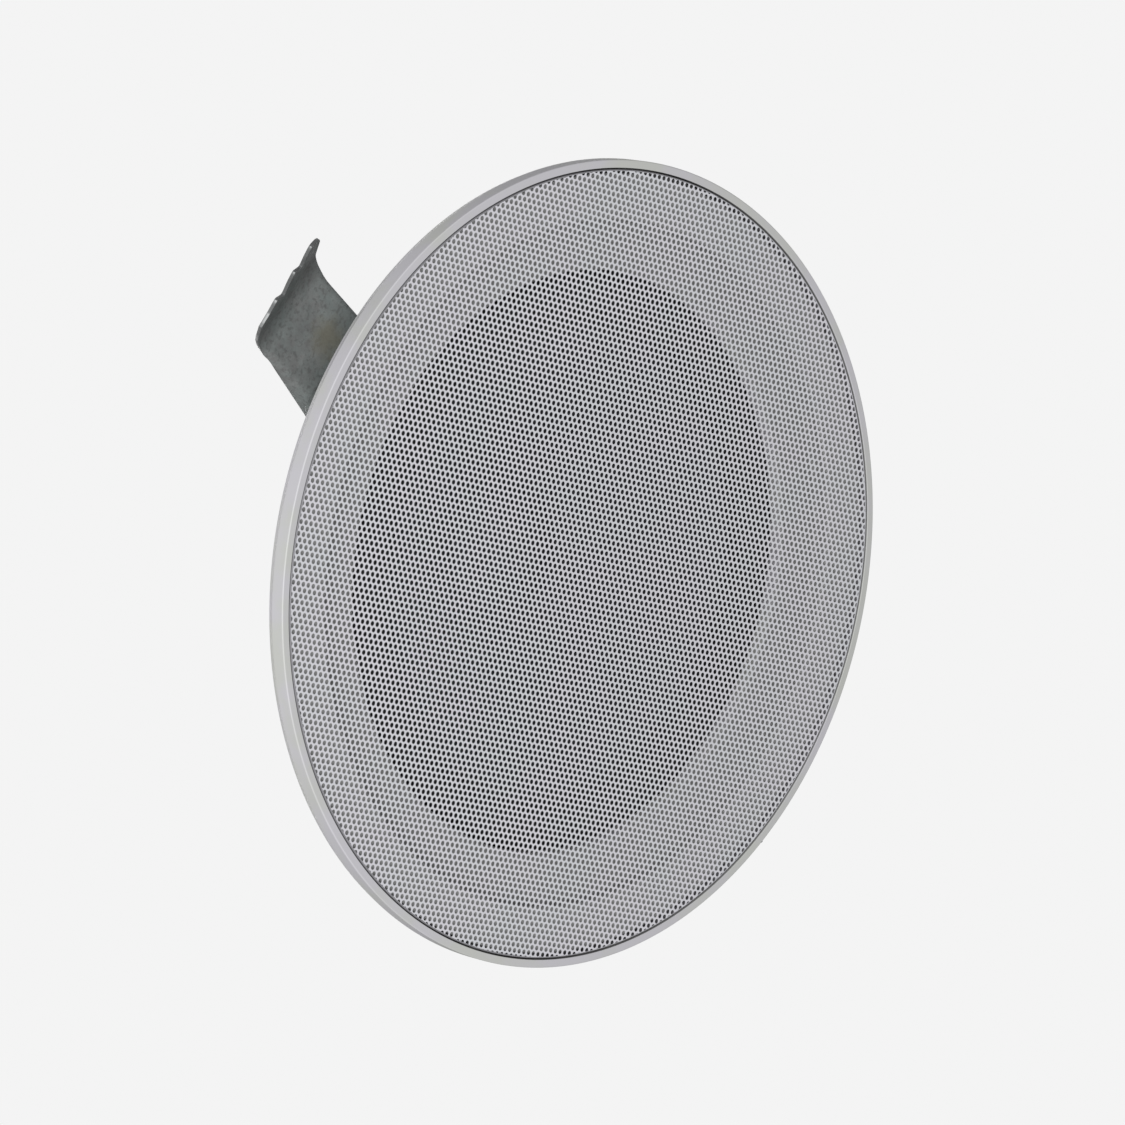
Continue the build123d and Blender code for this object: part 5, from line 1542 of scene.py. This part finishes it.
class SPEAKER_OT_wiring(bpy.types.Operator):
    """Build the leads between terminals, transformer, tags and cone"""

    bl_idname = "speaker.wiring"
    bl_label = "Build Wiring"

    def execute(self, context):
        for number, side in enumerate((-1, 1)):
            flexible = [
                tag_place(side, -4.5, 0.5),
                tag_place(side, -10.5, 1.5),
                around(65.3, TAG_BEARING + side * 9, 14.3),
                around(61, TAG_BEARING + side * 9.3, 11.3),
                around(52, TAG_BEARING + side * 9.5, 15),
                around(42, TAG_BEARING + side * 9, 21),
                around(31.3, TAG_BEARING + side * 10, 22.3),
                around(26.3, TAG_BEARING + side * 10, 21.5),
            ]
            braid = wire_piece(f"flexible_lead_{number + 1}", smooth_route(flexible), finish("tinned_brass"), 0.5 * MM)
            bend_piece(braid, "flexible_leads")
            start_x = (-6.0, -9.5)[number]
            face_y = 51.4 + 0.7
            speaker = [
                Vector((start_x, face_y, 47)) * MM,
                Vector((start_x, face_y - 6, 47)) * MM,
                Vector((start_x - 8, face_y - 9.5, 45 + 1.5 * side)) * MM,
                around(51 + 1.5 * side, 126 + 6 * side, 41 + 3 * side),
                tag_place(side, 11, 4.6),
                tag_place(side, 5, 0.6),
            ]
            end_x = (5.5, 9.0)[number]
            pole_x = (33.0, 43.0)[number]
            line = [
                Vector((pole_x, 54, 32)) * MM,
                Vector((pole_x, 48, 32)) * MM,
                Vector((pole_x - 8, 44.5, 36)) * MM,
                Vector((end_x + 8, face_y - 9, 34 + end_x)) * MM,
                Vector((end_x, face_y - 6, 47)) * MM,
                Vector((end_x, face_y, 47)) * MM,
            ]
            sleeve = finish("lead_sleeve" if number else "lead_sleeve_black")
            for node, route in (("speaker_leads", speaker), ("line_leads", line)):
                lead = wire_piece(f"{node[:-1]}_{number + 1}", smooth_route(route), sleeve, 0.6 * MM)
                place_piece(lead, ROOT, node)
        return {"FINISHED"}


def aim(obj, place, forward, up):
    """Set an object at a place so that it looks along a direction, with its top towards another."""
    forward = Vector(forward).normalized()
    right = forward.cross(Vector(up)).normalized()
    turned = Matrix((right, right.cross(forward), -forward)).transposed()
    obj.matrix_world = Matrix.Translation(place) @ turned.to_4x4()


# The photo's camera: its lens in millimetres, its place, the way it looks and its top
CAMERA_LENS = 195.27
CAMERA_PLACE = Vector((0.93064, -0.49839, -1.06533))
CAMERA_FORWARD = Vector((-0.61928, 0.3313, 0.71185))
CAMERA_UP = Vector((0.58869, 0.79583, 0.14175))


class SPEAKER_OT_stage(bpy.types.Operator):
    """Set the camera, the lights, the background and the floor"""

    bl_idname = "speaker.stage"
    bl_label = "Set Stage"

    def execute(self, context):
        chosen = context.scene.speaker_stage
        camera_data = bpy.data.cameras.new("photo_camera")
        camera_data.lens = CAMERA_LENS
        camera_data.sensor_width = 36.0
        camera = bpy.data.objects.new("photo_camera", camera_data)
        context.scene.collection.objects.link(camera)
        aim(camera, CAMERA_PLACE, CAMERA_FORWARD, CAMERA_UP)
        context.scene.camera = camera
        lights = (
            ("front_light", Vector((0.96, -0.80, -1.0)), 0.9, chosen.front_light),
            ("top_light", Vector((-0.5, 0.4, 1.5)), 1.4, chosen.top_light),
        )
        for name, spot, size, power in lights:
            lamp = bpy.data.lights.new(name, "AREA")
            lamp.shape = "DISK"
            lamp.size = size
            lamp.energy = power
            light = bpy.data.objects.new(name, lamp)
            context.scene.collection.objects.link(light)
            aim(light, spot, -spot, (0.3, 0.9, 0.1))
        self.background(context, chosen)
        self.floor(chosen)
        context.scene.view_settings.view_transform = "Standard"
        return {"FINISHED"}

    def background(self, context, chosen):
        """Light the object evenly from all sides and show a plain background behind it."""
        world = bpy.data.worlds.new("studio")
        context.scene.world = world
        world.use_nodes = True
        tree = world.node_tree
        tree.nodes.clear()
        shown = put(tree, "ShaderNodeBackground", {"Color": (chosen.background,) * 3 + (1,), "Strength": 1.0})
        lit = put(tree, "ShaderNodeBackground", {"Color": (1, 1, 1, 1), "Strength": chosen.ambient})
        ray = put(tree, "ShaderNodeLightPath")
        seen = calculate(tree, "MAXIMUM", ray.outputs["Is Camera Ray"], ray.outputs["Is Transmission Ray"])
        both = put(tree, "ShaderNodeMixShader", {0: seen, 1: lit.outputs[0], 2: shown.outputs[0]})
        put(tree, "ShaderNodeOutputWorld", {"Surface": both.outputs[0]})

    def floor(self, chosen):
        """Lay the pale floor that the speaker lies face down on, seen from above only."""
        half = 1.2
        height = RIM_FRONT - 0.2 * MM
        corners = [(-half, -half, height), (half, -half, height), (half, half, height), (-half, half, height)]
        floor = new_piece("floor", corners, faces=[(0, 1, 2, 3)])
        material = bpy.data.materials.new("pale_floor")
        material.use_nodes = True
        tree = material.node_tree
        tree.nodes.clear()
        pale = put(tree, "ShaderNodeBsdfDiffuse", {"Color": (chosen.floor,) * 3 + (1,)})
        clear = put(tree, "ShaderNodeBsdfTransparent")
        behind = put(tree, "ShaderNodeNewGeometry").outputs["Backfacing"]
        away = put(tree, "ShaderNodeVectorMath", {0: object_place(tree)}, operation="LENGTH").outputs["Value"]
        edge = spread(tree, away, 0.0, 1.0, 0.2, 0.75)
        unseen = calculate(tree, "MAXIMUM", behind, edge)
        both = put(tree, "ShaderNodeMixShader", {0: unseen, 1: pale.outputs[0], 2: clear.outputs[0]})
        put(tree, "ShaderNodeOutputMaterial", {"Surface": both.outputs[0]})
        floor.data.materials.append(material)
        floor.visible_shadow = False
        floor.visible_diffuse = False
        floor.visible_glossy = False
        floor.visible_transmission = False


SECTIONS = (
    # Scene property, its settings, title, operators
    ("speaker_finishes", FinishSettings, "Finishes", ("speaker.finishes",)),
    ("speaker_baffle", BaffleSettings, "Front Baffle", ("speaker.front_baffle",)),
    ("speaker_grille", GrilleSettings, "Grille", ("speaker.grille",)),
    (
        "speaker_driver",
        DriverSettings,
        "Driver",
        ("speaker.cone", "speaker.body_pieces", "speaker.line_transformer", "speaker.screws", "speaker.wiring"),
    ),
    ("speaker_clamps", ClampSettings, "Clamps", ("speaker.clamps",)),
    ("speaker_stage", StageSettings, "Stage", ("speaker.stage",)),
)


class SPEAKER_PT_panel(bpy.types.Panel):
    """Lists the speaker's sizes, colours and operators"""

    bl_label = "In-Ceiling Speaker"
    bl_idname = "SPEAKER_PT_panel"
    bl_space_type = "VIEW_3D"
    bl_region_type = "UI"
    bl_category = "Speaker"

    def draw(self, context):
        for property_name, settings, title, operators in SECTIONS:
            box = self.layout.box()
            box.label(text=title)
            for key in settings.__annotations__:
                box.prop(getattr(context.scene, property_name), key)
            for operator in operators:
                box.operator(operator)


OPERATORS = (
    SPEAKER_OT_finishes,
    SPEAKER_OT_front_baffle,
    SPEAKER_OT_grille,
    SPEAKER_OT_cone,
    SPEAKER_OT_body_pieces,
    SPEAKER_OT_line_transformer,
    SPEAKER_OT_screws,
    SPEAKER_OT_wiring,
    SPEAKER_OT_clamps,
    SPEAKER_OT_stage,
)


def register():
    """Register the settings, operators and panel."""
    for property_name, settings, _, _ in SECTIONS:
        bpy.utils.register_class(settings)
        setattr(bpy.types.Scene, property_name, PointerProperty(type=settings))
    for cls in OPERATORS + (SPEAKER_PT_panel,):
        bpy.utils.register_class(cls)


def unregister():
    """Remove the panel, operators and settings."""
    for cls in reversed(OPERATORS + (SPEAKER_PT_panel,)):
        bpy.utils.unregister_class(cls)
    for property_name, settings, _, _ in reversed(SECTIONS):
        delattr(bpy.types.Scene, property_name)
        bpy.utils.unregister_class(settings)


def main():
    """Build every piece and the stage."""
    register()
    for _, _, _, operators in SECTIONS:
        for name in operators:
            group, action = name.split(".")
            getattr(getattr(bpy.ops, group), action)()


if __name__ == "__main__":
    main()
